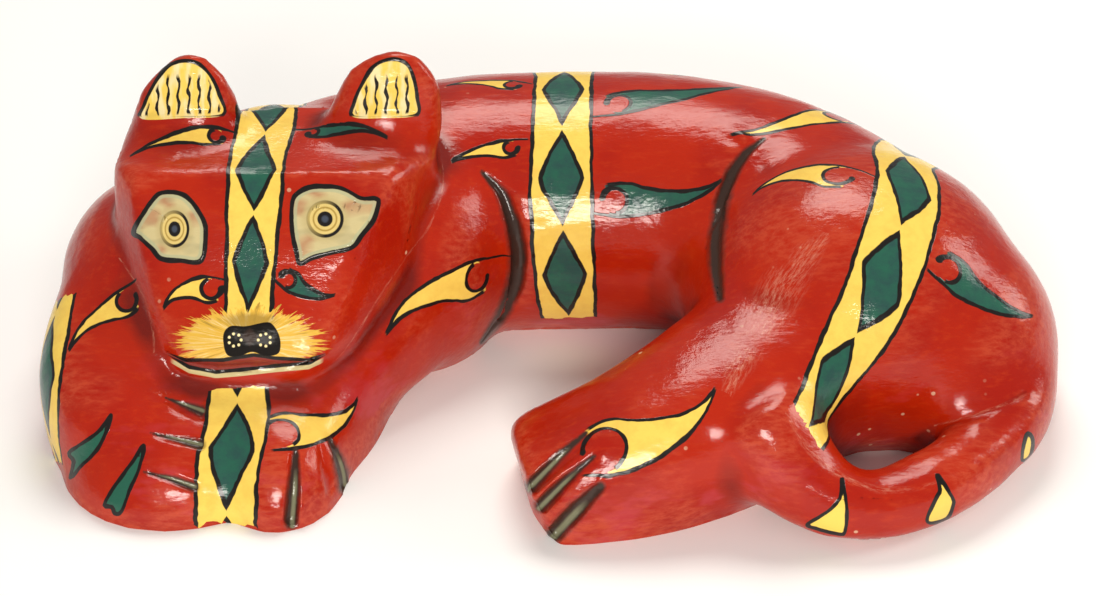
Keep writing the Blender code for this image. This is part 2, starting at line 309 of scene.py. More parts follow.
# Pale lines along edges, partly lacquer rubbed thin and partly painted highlight, as down the hind leg's
# ridge and along the tail: places in pixels, with half widths in millimetres.
WORN_SHEEN_LINES = [
    [(122, 262, 0.5), (132, 276, 0.8), (146, 300, 0.9), (154, 335, 0.8), (154, 349, 0.5)],
    [(440, 150, 0.3), (441, 200, 0.5), (424, 236, 0.7), (390, 280, 0.8), (361, 326, 0.9), (330, 366, 0.5)],
    [(937, 425, 0.5), (975, 415, 0.8), (1010, 403, 0.9), (1044, 388, 0.6)],
    [
        (826, 236, 3.0), (804, 258, 8.0), (780, 288, 12.0), (762, 322, 11.0), (742, 358, 8.0),
        (728, 392, 3.0),
    ],
    [
        (786, 414, 0.8), (800, 440, 2.0), (822, 462, 2.5), (846, 478, 2.5), (880, 491, 2.2),
        (918, 489, 1.4), (946, 478, 0.6),
    ],
]


class Sight:
    """A camera's place, and the way through each pixel of its picture."""

    def __init__(self, azimuth=0.0, elevation=ELEVATION):
        turn = Matrix.Rotation(azimuth, 3, "Z")
        self.forward = turn @ Vector((0, math.cos(elevation), -math.sin(elevation)))
        self.right = turn @ Vector((1, 0, 0))
        self.up = self.right.cross(self.forward)
        self.eye = AIM - self.forward * DISTANCE
        self.spread = SENSOR / LENS / PICTURE[0]

    def through(self, x, y):
        aside = (x - PICTURE[0] / 2) * self.spread
        above = (PICTURE[1] / 2 - y) * self.spread
        return (self.forward + self.right * aside + self.up * above).normalized()

    def pixels(self, places):
        """Where each place shows, as an array of pixels."""
        away = places - np.array(self.eye)
        depth = away @ np.array(self.forward)
        across = away @ np.array(self.right) / depth / self.spread + PICTURE[0] / 2
        down = PICTURE[1] / 2 - away @ np.array(self.up) / depth / self.spread
        return np.column_stack((across, down))


class Skin:
    """The cat's surface as it is being worked, with quick answers about where it lies."""

    def __init__(self, work):
        self.tree = BVHTree.FromBMesh(work)

    def at(self, sight, pixel):
        place, normal, _, _ = self.tree.ray_cast(sight.eye, sight.through(*pixel[:2]))
        if place is None:
            raise RuntimeError(f"nothing of the cat shows at {pixel}")
        return place, normal

    def shows(self, sight, places, slack=0.004):
        """Whether each place is the first that the camera meets on its way there."""
        seen = np.zeros(len(places), dtype=bool)
        for row, place in enumerate(places):
            way = Vector(place) - sight.eye
            _, _, _, reach = self.tree.ray_cast(sight.eye, way.normalized())
            seen[row] = reach is None or reach > way.length - slack
        return seen

    def round_behind(self, centre, start, axis, degrees, steps=24):
        """Places that follow the skin round behind a centre, from a start, until the ground."""
        centre, axis = Vector(centre), Vector(axis).normalized()
        arm = start - centre
        arm -= axis * arm.dot(axis)
        offset = axis * (start - centre).dot(axis)
        route = []
        for step in range(1, steps + 1):
            turned = Matrix.Rotation(math.radians(-degrees) * step / steps, 3, axis) @ arm.normalized()
            place, _, _, _ = self.tree.ray_cast(centre + offset + turned * 0.14, -turned)
            if place is None or place.z < 0.001:
                break
            route.append(place)
        return route


def within_box(pixels, box):
    left, top, right, bottom = box
    return (pixels[:, 0] > left) & (pixels[:, 0] < right) & (pixels[:, 1] > top) & (pixels[:, 1] < bottom)


def near_box(places, line, margin):
    """Whether each place is within a margin of the box round a line."""
    low, high = line.min(axis=0) - margin, line.max(axis=0) + margin
    return ((places > low) & (places < high)).all(axis=1)


def steps_along(line):
    """How far along a line each of its places is."""
    return np.concatenate(([0.0], np.cumsum(np.linalg.norm(np.diff(line, axis=0), axis=1))))


def outline_gap(pixels, outline):
    """How far inside a closed outline each pixel is. Outside it counts below zero."""
    ends = np.array(outline, dtype=float)
    gap = np.full(len(pixels), 1e9)
    inside = np.zeros(len(pixels), dtype=bool)
    for start, end in zip(ends, np.roll(ends, -1, axis=0)):
        run = end - start
        share = np.clip(((pixels - start) @ run) / (run @ run), 0, 1)
        gap = np.minimum(gap, np.linalg.norm(pixels - start - share[:, None] * run, axis=1))
        spans = (start[1] > pixels[:, 1]) != (end[1] > pixels[:, 1])
        rise = run[1] if abs(run[1]) > 1e-9 else 1e-9
        crossing = start[0] + (pixels[:, 1] - start[1]) / rise * run[0]
        inside ^= spans & (pixels[:, 0] < crossing)
    return np.where(inside, gap, -gap)


def rounded(outline, steps=5):
    """A closed outline's corners joined by curves that pass through them."""
    corners = [Vector(corner) for corner in outline]
    line = []
    for index, start in enumerate(corners):
        before, end, after = (corners[(index + step) % len(corners)] for step in (-1, 1, 2))
        for step in range(steps):
            t = step / steps
            pull = (end - before) * 0.5, (after - start) * 0.5
            line.append(
                start * (2 * t**3 - 3 * t**2 + 1) + pull[0] * (t**3 - 2 * t**2 + t)
                + end * (3 * t**2 - 2 * t**3) + pull[1] * (t**3 - t**2)
            )
    return [tuple(place) for place in line]


def read(items, name, width, kind=np.float64):
    """One property of all points, edges, faces or corners, as rows of numbers."""
    values = np.empty(len(items) * width, dtype=kind)
    items.foreach_get(name, values)
    return values.reshape(-1, width)


def points_of(mesh):
    return read(mesh.vertices, "co", 3)


def normals_of(mesh):
    return read(mesh.vertices, "normal", 3)


def corners_of(mesh):
    return read(mesh.loops, "vertex_index", 1, np.int64).reshape(-1, 3)


def face_normals(mesh):
    return read(mesh.polygons, "normal", 3)


def store(mesh, name, values, domain="CORNER"):
    """Keeps a triple at each corner of each face, or at each point."""
    layer = mesh.attributes.new(name, "FLOAT_VECTOR", domain)
    layer.data.foreach_set("vector", np.ascontiguousarray(values, dtype=np.float32).reshape(-1))


def blank(values, *counts):
    """The same three numbers for each point, or for each corner of each face."""
    return np.tile(np.array(values), (*counts, 1))


def groove_places(work, sight):
    """The grooves' places on the rough skin, to look up how near an edge lies."""
    skin = Skin(work)
    lines = [route.line for route, _ in gouge_routes(skin, sight)]
    places = np.concatenate(lines)
    near = KDTree(len(places))
    for row, place in enumerate(places):
        near.insert(place, row)
    near.balance()
    return near


def split_long(work, sight, grooves, longest, smooth):
    """Divides the edges that are longer than their part of the skin allows."""
    edges = [edge for edge in work.edges if max(vert.co.z for vert in edge.verts) > GROUND]
    middles = np.array([(edge.verts[0].co + edge.verts[1].co) / 2 for edge in edges])
    lengths = np.array([edge.calc_length() for edge in edges])
    facing = np.array([(edge.verts[0].normal + edge.verts[1].normal).dot(sight.forward) for edge in edges])
    pixels = sight.pixels(middles)
    goal = np.full(len(edges), longest)
    near = (facing < -0.15) & (middles[:, 1] < FINE_BACK)
    for box, length in FINE:
        goal[near & within_box(pixels, box)] = max(length, longest / 4)
    for row in np.flatnonzero((lengths > GROOVE_EDGE) & (lengths < LONG_EDGE)):
        if grooves.find(middles[row])[2] < GROOVE_REACH:
            goal[row] = GROOVE_EDGE
    chosen = [edges[row] for row in np.flatnonzero(lengths > goal)]
    if chosen:
        bmesh.ops.subdivide_edges(work, edges=chosen, cuts=1, use_grid_fill=True, smooth=smooth)
        bmesh.ops.triangulate(work, faces=[face for face in work.faces if len(face.verts) > 3])
        if not smooth:
            flat = [edge for edge in work.edges if edge.calc_face_angle(1) < FLAT_ANGLE]
            bmesh.ops.beautify_fill(work, faces=work.faces[:], edges=flat, method="ANGLE")
        work.normal_update()
    return len(chosen)


def rub(work, verts, times):
    """Rubs some of the skin's points smooth."""
    axes = {"use_axis_x": True, "use_axis_y": True, "use_axis_z": True}
    for _ in range(times):
        bmesh.ops.smooth_vert(work, verts=verts, factor=0.5, **axes)


def ease(work, sight):
    """Rounds the folds between neighbouring cuts, in the eased places."""
    places = np.array([vert.co for vert in work.verts])
    pixels = sight.pixels(places)
    facing = np.array([vert.normal for vert in work.verts]) @ np.array(sight.forward) < -0.1
    facing &= places[:, 1] < EASED_BACK
    for times, outline in EASED:
        free = [work.verts[row] for row in np.flatnonzero(facing & (outline_gap(pixels, outline) > 0))]
        rub(work, free, times)
    work.normal_update()


def mend_folds(work, rounds=4):
    """Rubs flat the places where the skin is folded over itself."""
    for _ in range(rounds):
        folded = set()
        for face in work.faces:
            out = face.verts[0].normal + face.verts[1].normal + face.verts[2].normal
            if face.normal.dot(out) < 1:
                folded.update(vert for vert in face.verts if vert.co.z > FOLD_START)
        around = {edge.other_vert(vert) for vert in folded for edge in vert.link_edges}
        free = [vert for vert in folded | around if vert.co.z > FOLD_START]
        rub(work, free, 1)
        work.normal_update()


def knife_waves(work, depth):
    """The shallow, uneven facets that a knife and a rasp leave."""
    for vert in work.verts:
        if vert.co.z > KNIFE_START:
            swell = noise.noise(vert.co * 42) + 0.5 * noise.noise(vert.co * 95 + Vector((3, 1, 7)))
            vert.co += vert.normal * (swell - 1.2) * depth
            vert.co.z = max(vert.co.z, LOWEST)


def gouge_routes(skin, sight):
    """The gouged lines, drawn on the skin in steps of a few pixels, and which are filled."""
    routes = []
    for places, widths, filled in GOUGES.values():
        places = np.array(places)
        gone = steps_along(places)
        marks = np.linspace(0, gone[-1], max(4, int(gone[-1] / GOUGE_PIXELS)))
        drawn = zip(*(np.interp(marks, gone, column) for column in places.T))
        widths = np.interp(marks, gone, widths) / 1000
        line, half = evened([skin.at(sight, place)[0] for place in drawn], widths, 0.001)
        routes.append((Route(skin, line, half), filled))
    return routes


def deepen(work, sizes, sight):
    """Cuts the gouged lines crisp, and hollows the ears."""
    skin = Skin(work)
    places = np.array([vert.co for vert in work.verts])
    normals = np.array([vert.normal for vert in work.verts])
    sink = np.zeros(len(places))
    for route, _ in gouge_routes(skin, sight):
        rows = np.flatnonzero(near_box(places, route.line, GOUGE_DEPTH_MARGIN))
        _, _, half, near = route.measure(places[rows])
        depth = np.clip(1 - (near / half) ** 2, 0, 1) * half * sizes.gouge_depth
        sink[rows] = np.maximum(sink[rows], depth)
    pixels = sight.pixels(places)
    facing = (normals @ np.array(sight.forward) < -0.1) & (places[:, 1] < EARS_BACK)
    for lining in LININGS:
        gap = outline_gap(pixels, rounded(lining))
        dish = np.clip(gap / 9, 0, 1)
        hollow = dish * dish * (3 - 2 * dish) * sizes.ear_depth
        sink = np.where(facing, np.maximum(sink, hollow), sink)
    for vert, depth in zip(work.verts, sink):
        if depth > 0:
            vert.co -= vert.normal * depth
            vert.co.z = max(vert.co.z, LOWEST)
    work.normal_update()


def carve_cat(sizes):
    """The cat that shows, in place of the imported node."""
    sight = Sight()
    work = bmesh.new()
    work.from_mesh(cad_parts[NODE].data)
    bmesh.ops.remove_doubles(work, verts=work.verts, dist=MERGE)
    work.normal_update()
    grooves = groove_places(work, sight)
    for smooth in ROUNDING:
        split_long(work, sight, grooves, sizes.longest_edge, smooth)
        for vert in work.verts:
            vert.co.z = max(vert.co.z, 0.0)
    bmesh.ops.dissolve_degenerate(work, dist=SHORTEST, edges=work.edges[:])
    bmesh.ops.triangulate(work, faces=[face for face in work.faces if len(face.verts) > 3])
    rub(work, [vert for vert in work.verts if vert.co.z > GROUND], sizes.smoothing)
    work.normal_update()
    work.verts.ensure_lookup_table()
    ease(work, sight)
    knife_waves(work, sizes.knife_depth)
    work.normal_update()
    deepen(work, sizes, sight)
    mend_folds(work)
    mesh = bpy.data.meshes.new("lacquered_cat")
    work.to_mesh(mesh)
    work.free()
    mesh.shade_smooth()
    cat = bpy.data.objects.new("lacquered_cat", mesh)
    bpy.context.scene.collection.objects.link(cat)
    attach(cat, "root")
    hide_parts(NODE)
    return cat


def evened(route, widths, step):
    """A route redrawn in equal steps along a smooth line, with its half widths."""
    places = np.array(route)
    gone = steps_along(places)
    marks = np.linspace(0, gone[-1], max(16, int(gone[-1] / step)))
    line = np.column_stack([np.interp(marks, gone, places[:, i]) for i in range(3)])
    wide = np.interp(marks, gone, widths)
    kernel = np.hanning(13)[1:-1]
    kernel /= kernel.sum()
    reach = len(kernel) // 2
    for column in (*line.T, wide):
        padded = np.pad(column, reach, mode="reflect", reflect_type="odd")
        column[:] = np.convolve(padded, kernel, mode="valid")
    return line, wide


class Route:
    """A painted or gouged line on the skin, measured by how far across and along a place is."""

    def __init__(self, skin, line, half):
        self.line, self.half = line, half
        forward = np.gradient(line, axis=0)
        self.forward = forward / np.linalg.norm(forward, axis=1, keepdims=True)
        found = [skin.tree.find_nearest(Vector(place)) for place in line]
        self.out = np.array([hit[1] for hit in found])
        side = np.cross(self.forward, self.out)
        self.side = side / np.linalg.norm(side, axis=1, keepdims=True)
        self.gone = steps_along(line)

    def measure(self, places):
        """Across, along and half width for each place, and its distance from the line."""
        across, along, half, near = (np.empty(len(places)) for _ in range(4))
        for first in range(0, len(places), BLOCK):
            part = slice(first, first + BLOCK)
            offset = places[part, None, :] - self.line[None, :, :]
            closest = np.argmin((offset ** 2).sum(axis=2), axis=1)
            gap = places[part] - self.line[closest]
            across[part] = (gap * self.side[closest]).sum(axis=1)
            onward = (gap * self.forward[closest]).sum(axis=1)
            along[part] = self.gone[closest] + onward
            half[part] = self.half[closest]
            near[part] = np.linalg.norm(gap, axis=1)
        return across, along, half, near


def lay_bands(mesh, sight, name, routes, margin):
    """Stores each face's place on the one band or line that it lies on."""
    places, corners, normals = points_of(mesh), corners_of(mesh), face_normals(mesh)
    middles = sight.pixels(places)[corners].mean(axis=1)
    values = blank((9.0, 0.0, 0.01), len(corners), 3)
    best = np.full(len(corners), 1.0)
    for route, count, lean, end in routes:
        inside = near_box(places, route.line, BAND_MARGIN)
        chosen = np.flatnonzero(inside[corners].all(axis=1))
        verts, back = np.unique(corners[chosen], return_inverse=True)
        across, along, half, near = (each[back].reshape(-1, 3) for each in route.measure(places[verts]))
        middle = near.mean(axis=1)
        nearest = np.argmin(np.abs(route.gone[None, :] - along.mean(axis=1)[:, None]), axis=1)
        fits = (middle < half.max(axis=1) * 1.25 + margin) & (middle < best[chosen])
        fits &= (along.max(axis=1) > 0) & (along.min(axis=1) < route.gone[-1])
        fits &= (normals[chosen] * route.out[nearest]).sum(axis=1) > -0.1
        if end:
            (x, y), (far_x, far_y) = end
            fits &= (middles[chosen] - (x, y)) @ np.array((far_y - y, x - far_x)) > 0
        rows = chosen[fits]
        best[rows] = middle[fits]
        marks = count(along[fits]) + lean * across[fits] / half[fits]
        values[rows] = np.stack((across[fits], marks, half[fits]), axis=2)
    store(mesh, name, values)


def band_route(skin, sight, plan):
    """A band's line: where it is seen, and on round behind."""
    seen = [(skin.at(sight, place)[0], place[2] * PIXEL) for place in plan["seen"]]
    route, widths = [place for place, _ in seen], [half for _, half in seen]
    if "before" in plan:
        centre, axis, degrees = plan["before"]
        hidden = skin.round_behind(centre, route[0], axis, degrees)
        route = hidden[::-1] + route
        widths = [max(widths)] * len(hidden) + widths
    line, half = evened(route, widths, BAND_STEP)
    band = Route(skin, line, half)
    marks, numbers = [], []
    for pixel, number in plan["marks"]:
        place = np.array(skin.at(sight, pixel)[0])
        marks.append(band.gone[np.argmin(((line - place) ** 2).sum(axis=1))])
        numbers.append(number)
    spacing = (marks[-1] - marks[0]) / (numbers[-1] - numbers[0])

    def count(along):
        inner = np.interp(along, marks, numbers)
        return inner + (np.minimum(along - marks[0], 0) + np.maximum(along - marks[-1], 0)) / spacing

    return band, count, plan["lean"], plan.get("end")


def worn_sheen_route(skin, sight, places):
    """The line of a pale edge, worn paint and painted highlight in one: its lengths along it, no lean and no
    end.
    """
    line = [skin.at(sight, place)[0] for place in places]
    line, half = evened(line, np.array([place[2] for place in places]) / 1000, BAND_STEP)
    return Route(skin, line, half), lambda along: along, 0.0, None


def lay_leaf(mesh_data, values, sizes, skin, sight, leaf):
    """Gives the faces round a leaf their place in the leaf's own outline."""
    places, corners, normals, taken = mesh_data
    tip_pixel, curl_pixel, side, width, colour, reach = leaf
    tip, tip_out = skin.at(sight, tip_pixel)
    curl, curl_out = skin.at(sight, curl_pixel)
    out = (tip_out + curl_out).normalized()
    along = curl - tip
    along -= out * along.dot(out)
    length = along.length
    along.normalize()
    across = along.cross(out) * side
    offset = places - np.array(tip)
    s = offset @ np.array(along) / length
    t = offset @ np.array(across) / (width * PIXEL)
    depth = np.abs(offset @ np.array(out))
    near = (s > -0.12) & (s < LEAF_REACH) & (np.abs(t) < 1.0) & (depth < length * 0.8)
    chosen = np.flatnonzero(near[corners].all(axis=1) & (normals @ np.array(out) > 0.05) & ~taken)
    rows = corners[chosen]
    values[chosen] = np.stack((s[rows], t[rows], np.full(rows.shape, float(colour))), axis=2)
    sizes[chosen] = (length, width * PIXEL, reach)
    taken[chosen] = True


def lay_leaves(mesh, skin, sight):
    corners = corners_of(mesh)
    data = (points_of(mesh), corners, face_normals(mesh), np.zeros(len(corners), dtype=bool))
    values = blank((-9.0, 0.0, 0.0), len(corners), 3)
    sizes = blank((0.03, 0.01, 0.0), len(corners), 3)
    for view, leaves in ((sight, LEAVES), (Sight(math.pi), FAR_LEAVES)):
        for leaf in leaves:
            lay_leaf(data, values, sizes, skin, view, leaf)
    store(mesh, "leaf", values)
    store(mesh, "leaf_size", sizes)


def lay_small_leaves(mesh, pixels, seen):
    """How far inside a small leaf each point is, in metres, and the leaf's colour."""
    values = blank((-0.02, 0.0, 0.0), len(pixels))
    for colour, outlines in SMALL_LEAVES.items():
        for outline in outlines:
            gap = outline_gap(pixels, rounded(outline, 3)) * PIXEL
            rows = seen & (gap > values[:, 0]) & (gap > -0.008)
            values[rows, 0] = gap[rows]
            values[rows, 1] = colour
    store(mesh, "small_leaf", values, "POINT")


def lay_gouges(mesh, skin, sight, pixels, seen):
    """How far from a groove's middle each place shows, as a share of its half width, how far
    along a filled groove it is, and how far across."""
    places = points_of(mesh)
    values = blank((4.0, -1.0, 0.0), len(places))
    for route, filled in gouge_routes(skin, sight):
        drawn = sight.pixels(route.line)
        rows = np.flatnonzero(seen & near_box(pixels, drawn, GOUGE_MARGIN))
        gaps = np.linalg.norm(pixels[rows, None] - drawn[None], axis=2)
        closest = gaps.argmin(axis=1)
        share = gaps.min(axis=1) * PIXEL / route.half[closest]
        across, along, half, _ = route.measure(places[rows])
        better = share < values[rows, 0]
        chosen = rows[better]
        onward = along / route.gone[-1] if filled else np.full(len(rows), -1.0)
        values[chosen] = np.stack((share, onward, across / half), axis=1)[better]
    store(mesh, "gouge", values, "POINT")


def lay_face(mesh, pixels, seen):
    """Measures the face: the eyes' outlines and irises, nose, lips and the ears' linings."""
    face = seen & (outline_gap(pixels, HEAD) > 0)
    store(mesh, "picture", np.column_stack((pixels, face)), "POINT")
    eyes = np.maximum(*(outline_gap(pixels, rounded(outline)) for outline in EYES.values()))
    nose = outline_gap(pixels, rounded(NOSE))
    lining = np.maximum(*(outline_gap(pixels, rounded(outline)) for outline in LININGS))
    for gap in (eyes, nose, lining):
        gap[~face] = -20
        np.clip(gap, -20, 60, out=gap)
    store(mesh, "marks", np.column_stack((eyes, nose, lining)), "POINT")
    x, y, wide, high = np.where(pixels[:, :1] < NOSTRILS[0], IRISES["left"], IRISES["right"]).T
    across, down = (pixels[:, 0] - x) / wide, (pixels[:, 1] - y) / high
    store(mesh, "iris", np.column_stack((across, down, face)), "POINT")
    upper = pixels[:, 1] - np.interp(pixels[:, 0], *zip(*UPPER_LIP))
    lower = pixels[:, 1] - np.interp(pixels[:, 0], *zip(*LOWER_LIP))
    left, right = UPPER_LIP[0][0], UPPER_LIP[-1][0]
    ends = np.clip(np.minimum(pixels[:, 0] - left, right - pixels[:, 0]) / 14, -1, 1) * face
    store(mesh, "lips", np.column_stack((upper, lower, ends)), "POINT")
    return face


def summed_round(ends, values):
    """The sum of a value over each point's neighbours, from the edges' two ends."""
    first, second = ends
    count = len(values)
    return np.bincount(first, values[second], count) + np.bincount(second, values[first], count)


def ends_of(mesh):
    return read(mesh.edges, "vertices", 2, np.int64).T


def agreed(mesh, flags, times=3):
    """The flags once each point has taken the side of most of its neighbours."""
    ends = ends_of(mesh)
    count = summed_round(ends, np.ones(len(flags)))
    for _ in range(times):
        flags = (summed_round(ends, flags) + flags) / (count + 1) > 0.5
    return flags


def lay_relief(mesh, times=24):
    """How hollow or how ridged the skin is at each point, for painted shade in creases and for pale ridges
    of worn paint and painted sheen.
    """
    places, normals = points_of(mesh), normals_of(mesh)
    ends = ends_of(mesh)
    count = summed_round(ends, np.ones(len(places)))
    moved = places.copy()
    for _ in range(times):
        moved = np.column_stack([summed_round(ends, moved[:, axis]) / count for axis in range(3)])
    rise = ((moved - places) * normals).sum(axis=1) * 1000
    hollow, ridge = np.clip(rise, 0, 2), np.clip(-rise, 0, 2)
    store(mesh, "relief", np.column_stack((hollow, ridge, places[:, 2])), "POINT")


def lay_out(cat):
    """Measures the skin for the painter, and parts the face and the underside from the rest."""
    mesh = cat.data
    work = bmesh.new()
    work.from_mesh(mesh)
    skin = Skin(work)
    sight = Sight()
    lay_bands(mesh, sight, "band", [band_route(skin, sight, plan) for plan in BANDS.values()], 0.004)
    lay_bands(mesh, sight, "wear", [worn_sheen_route(skin, sight, places) for places in WORN_SHEEN_LINES], 0.006)
    lay_leaves(mesh, skin, sight)
    places = points_of(mesh)
    pixels = sight.pixels(places)
    seen = (normals_of(mesh) @ np.array(sight.forward) < 0.05) & (places[:, 1] < PAINT_BACK)
    rows = np.flatnonzero(seen)
    seen[rows] = skin.shows(sight, places[rows])
    seen = agreed(mesh, seen)
    lay_small_leaves(mesh, pixels, seen)
    lay_gouges(mesh, skin, sight, pixels, seen)
    face = lay_face(mesh, pixels, seen)
    lay_relief(mesh)
    corners, normals = corners_of(mesh), face_normals(mesh)
    slots = np.where(face[corners].all(axis=1), FACE_SLOT, BODY_SLOT)
    flat = (normals[:, 2] < -0.9) & (places[corners, 2].max(axis=1) < 0.0004)
    slots[flat] = UNDERSIDE_SLOT
    mesh.polygons.foreach_set("material_index", slots.astype(np.int32))
    mesh.polygons.foreach_set("use_smooth", ~flat)
    work.free()


BODY_SLOT, FACE_SLOT, UNDERSIDE_SLOT = range(3)
# How softly one colour of paint meets the next, in metres.
PAINT_EDGE = 0.00022
PAINT_EDGE_PIXELS = PAINT_EDGE / PIXEL


class Bench:
    """Lays shader nodes out one after another, and joins them as they are made."""

    def __init__(self, tree, colours):
        self.tree, self.colours = tree, colours

    def add(self, kind, inputs=None, output=0, **settings):
        """A node with its settings, joined to sockets or given values or a named colour."""
        node = self.tree.nodes.new(kind)
        row = len(self.tree.nodes)
        node.location = (190 * (row % 14), -260 * (row // 14))
        for name, value in settings.items():
            setattr(node, name, value)
        for key, value in (inputs or {}).items():
            if isinstance(value, bpy.types.NodeSocket):
                self.tree.links.new(value, node.inputs[key])
            elif isinstance(value, str):
                node.inputs[key].default_value = (*getattr(self.colours, value), 1.0)
            else:
                node.inputs[key].default_value = value
        return node.outputs[output]

    def math(self, operation, *values, clamp=False):
        return self.add("ShaderNodeMath", dict(enumerate(values)), operation=operation, use_clamp=clamp)

    def chain(self, operation, values):
        result = values[0]
        for value in values[1:]:
            result = self.math(operation, result, value)
        return result

    def times(self, *values):
        return self.chain("MULTIPLY", values)

    def both(self, *masks):
        """One only where every mask is one."""
        return self.chain("MULTIPLY", masks)

    def plus(self, *values):
        return self.chain("ADD", values)

    def most(self, *values):
        return self.chain("MAXIMUM", values)

    def least(self, *values):
        return self.chain("MINIMUM", values)

    def less(self, value, taken):
        return self.math("SUBTRACT", value, taken)

    def over(self, value, divisor):
        return self.math("DIVIDE", value, divisor)

    def times_plus(self, value, factor, extra, clamp=False):
        return self.math("MULTIPLY_ADD", value, factor, extra, clamp=clamp)

    def size(self, value):
        return self.math("ABSOLUTE", value)

    def reach(self, x, y):
        """How far it is to a place that lies so far across and so far up."""
        return self.math("SQRT", self.plus(self.times(x, x), self.times(y, y)))

    def below(self, value, edge, soft=PAINT_EDGE):
        """One where the value is below the edge, and softly nothing above it."""
        return self.times_plus(self.less(value, edge), -1 / soft, 0.5, clamp=True)

    def above(self, value, edge, soft=PAINT_EDGE):
        return self.times_plus(self.less(value, edge), 1 / soft, 0.5, clamp=True)

    def line(self, value, half_width, soft=PAINT_EDGE):
        """A drawn line where the value passes through nothing."""
        return self.below(self.size(value), half_width, soft)

    def paint(self, ground, colour, mask):
        return self.add("ShaderNodeMix", {0: mask, 6: ground, 7: colour}, 2, data_type="RGBA")

    def triple(self, name):
        """The three numbers kept under a name on the mesh."""
        read = self.add("ShaderNodeAttribute", None, 1, attribute_type="GEOMETRY", attribute_name=name)
        return self.parted(read)

    def parted(self, vector):
        node = self.tree.nodes.new("ShaderNodeSeparateXYZ")
        self.tree.links.new(vector, node.inputs[0])
        return node.outputs[0], node.outputs[1], node.outputs[2]

    def joined(self, x=0.0, y=0.0, z=0.0):
        return self.add("ShaderNodeCombineXYZ", {0: x, 1: y, 2: z})

    def place(self):
        return self.add("ShaderNodeTexCoord", None, 3)

    def scaled(self, vector, scale):
        return self.add("ShaderNodeMapping", {0: vector, 3: scale})

    def grain(self, vector, scale, detail=2.0, roughness=0.5, output=0):
        inputs = {"Vector": vector, "Scale": scale, "Detail": detail, "Roughness": roughness}
        return self.add("ShaderNodeTexNoise", inputs, output, noise_dimensions="3D")

    def flat_grain(self, across, down, detail, roughness=0.5, height=0.0):
        """Grain that is read from a flat sheet, at a height above it."""
        return self.grain(self.joined(across, down, height), 1.0, detail, roughness)

    def ramp(self, value, low, high, to_low=0.0, to_high=1.0):
        inputs = {0: value, 1: low, 2: high, 3: to_low, 4: to_high}
        return self.add("ShaderNodeMapRange", inputs, clamp=True)

    def curve(self, value, points, low, high):
        """A curve drawn through (across, up) points, read over a range of each."""
        node = self.tree.nodes.new("ShaderNodeFloatCurve")
        self.tree.links.new(self.math("DIVIDE", value, points[-1][0], clamp=True), node.inputs["Value"])
        line = node.mapping.curves[0]
        while len(line.points) < len(points):
            line.points.new(0.5, 0.5)
        for point, (across, up) in zip(line.points, points):
            point.location = (across / points[-1][0], (up - low) / (high - low))
        node.mapping.update()
        return self.times_plus(node.outputs[0], high - low, low)


def group(name, paint, numbers=("Mask",), on_ground=True):
    """An empty group that gives a colour and numbers, and may take the ground; its end nodes."""
    tree = bpy.data.node_groups.new(name, "ShaderNodeTree")
    if on_ground:
        tree.interface.new_socket("Ground", in_out="INPUT", socket_type="NodeSocketColor")
    tree.interface.new_socket("Colour", in_out="OUTPUT", socket_type="NodeSocketColor")
    for number in numbers:
        tree.interface.new_socket(number, in_out="OUTPUT", socket_type="NodeSocketFloat")
    return Bench(tree, paint), tree.nodes.new("NodeGroupInput"), tree.nodes.new("NodeGroupOutput")


def finish_group(bench, end, results):
    for name, socket in results.items():
        bench.tree.links.new(socket, end.inputs[name])
    end.location = (3000, 0)
    return bench.tree


def hand_wobble(bench, scale=130.0):
    """The small tremble of a hand-held brush, between -0.5 and 0.5 each way."""
    noise_colour = bench.grain(bench.place(), scale, 2.0, 0.5, 1)
    centred = bench.add("ShaderNodeVectorMath", {0: noise_colour, 1: (0.5, 0.5, 0.5)}, operation="SUBTRACT")
    return bench.parted(centred)


def band_paint(paint):
    """Yellow bands with inked edges, and green lozenges down their middle."""
    bench, start, end = group("Painted bands", paint)
    shake, shake_along, shake_ink = hand_wobble(bench)
    across, count, half = bench.triple("band")
    across = bench.times_plus(shake, 0.0016, across)
    reach = bench.size(across)
    edge_gap = bench.less(half, reach)
    inked = bench.times_plus(shake_ink, 0.0010, paint.line_width * 0.5)
    yellow = bench.above(edge_gap, 0.0)
    edge_ink = bench.line(edge_gap, inked)
    count = bench.times_plus(shake_along, 0.03, count)
    turn = bench.math("FRACT", count)
    from_middle = bench.size(bench.times_plus(turn, 2.0, -1.0))
    bulge = bench.math("POWER", bench.times(from_middle, 1.14), 1.2)
    width = bench.over(reach, bench.times(half, 0.68))
    lozenge = bench.less(1.0, bench.plus(width, bulge))
    lozenge = bench.times(lozenge, bench.times(half, 0.55))
    green = bench.both(bench.above(lozenge, 0.0), yellow)
    lozenge_ink = bench.both(bench.line(lozenge, bench.times(inked, 0.95)), yellow)
    shade = bench.grain(bench.place(), 160.0, 3.0, 0.6)
    yellow_colour = bench.paint("yellow", "yellow_shade", bench.ramp(shade, 0.42, 0.75))
    green_colour = bench.paint("green", "green_shade", bench.ramp(shade, 0.35, 0.65))
    colour = bench.paint(start.outputs["Ground"], yellow_colour, yellow)
    colour = bench.paint(colour, green_colour, green)
    ink = bench.most(edge_ink, lozenge_ink)
    colour = bench.paint(colour, "ink", ink)
    return finish_group(bench, end, {"Colour": colour, "Mask": bench.most(yellow, ink)})


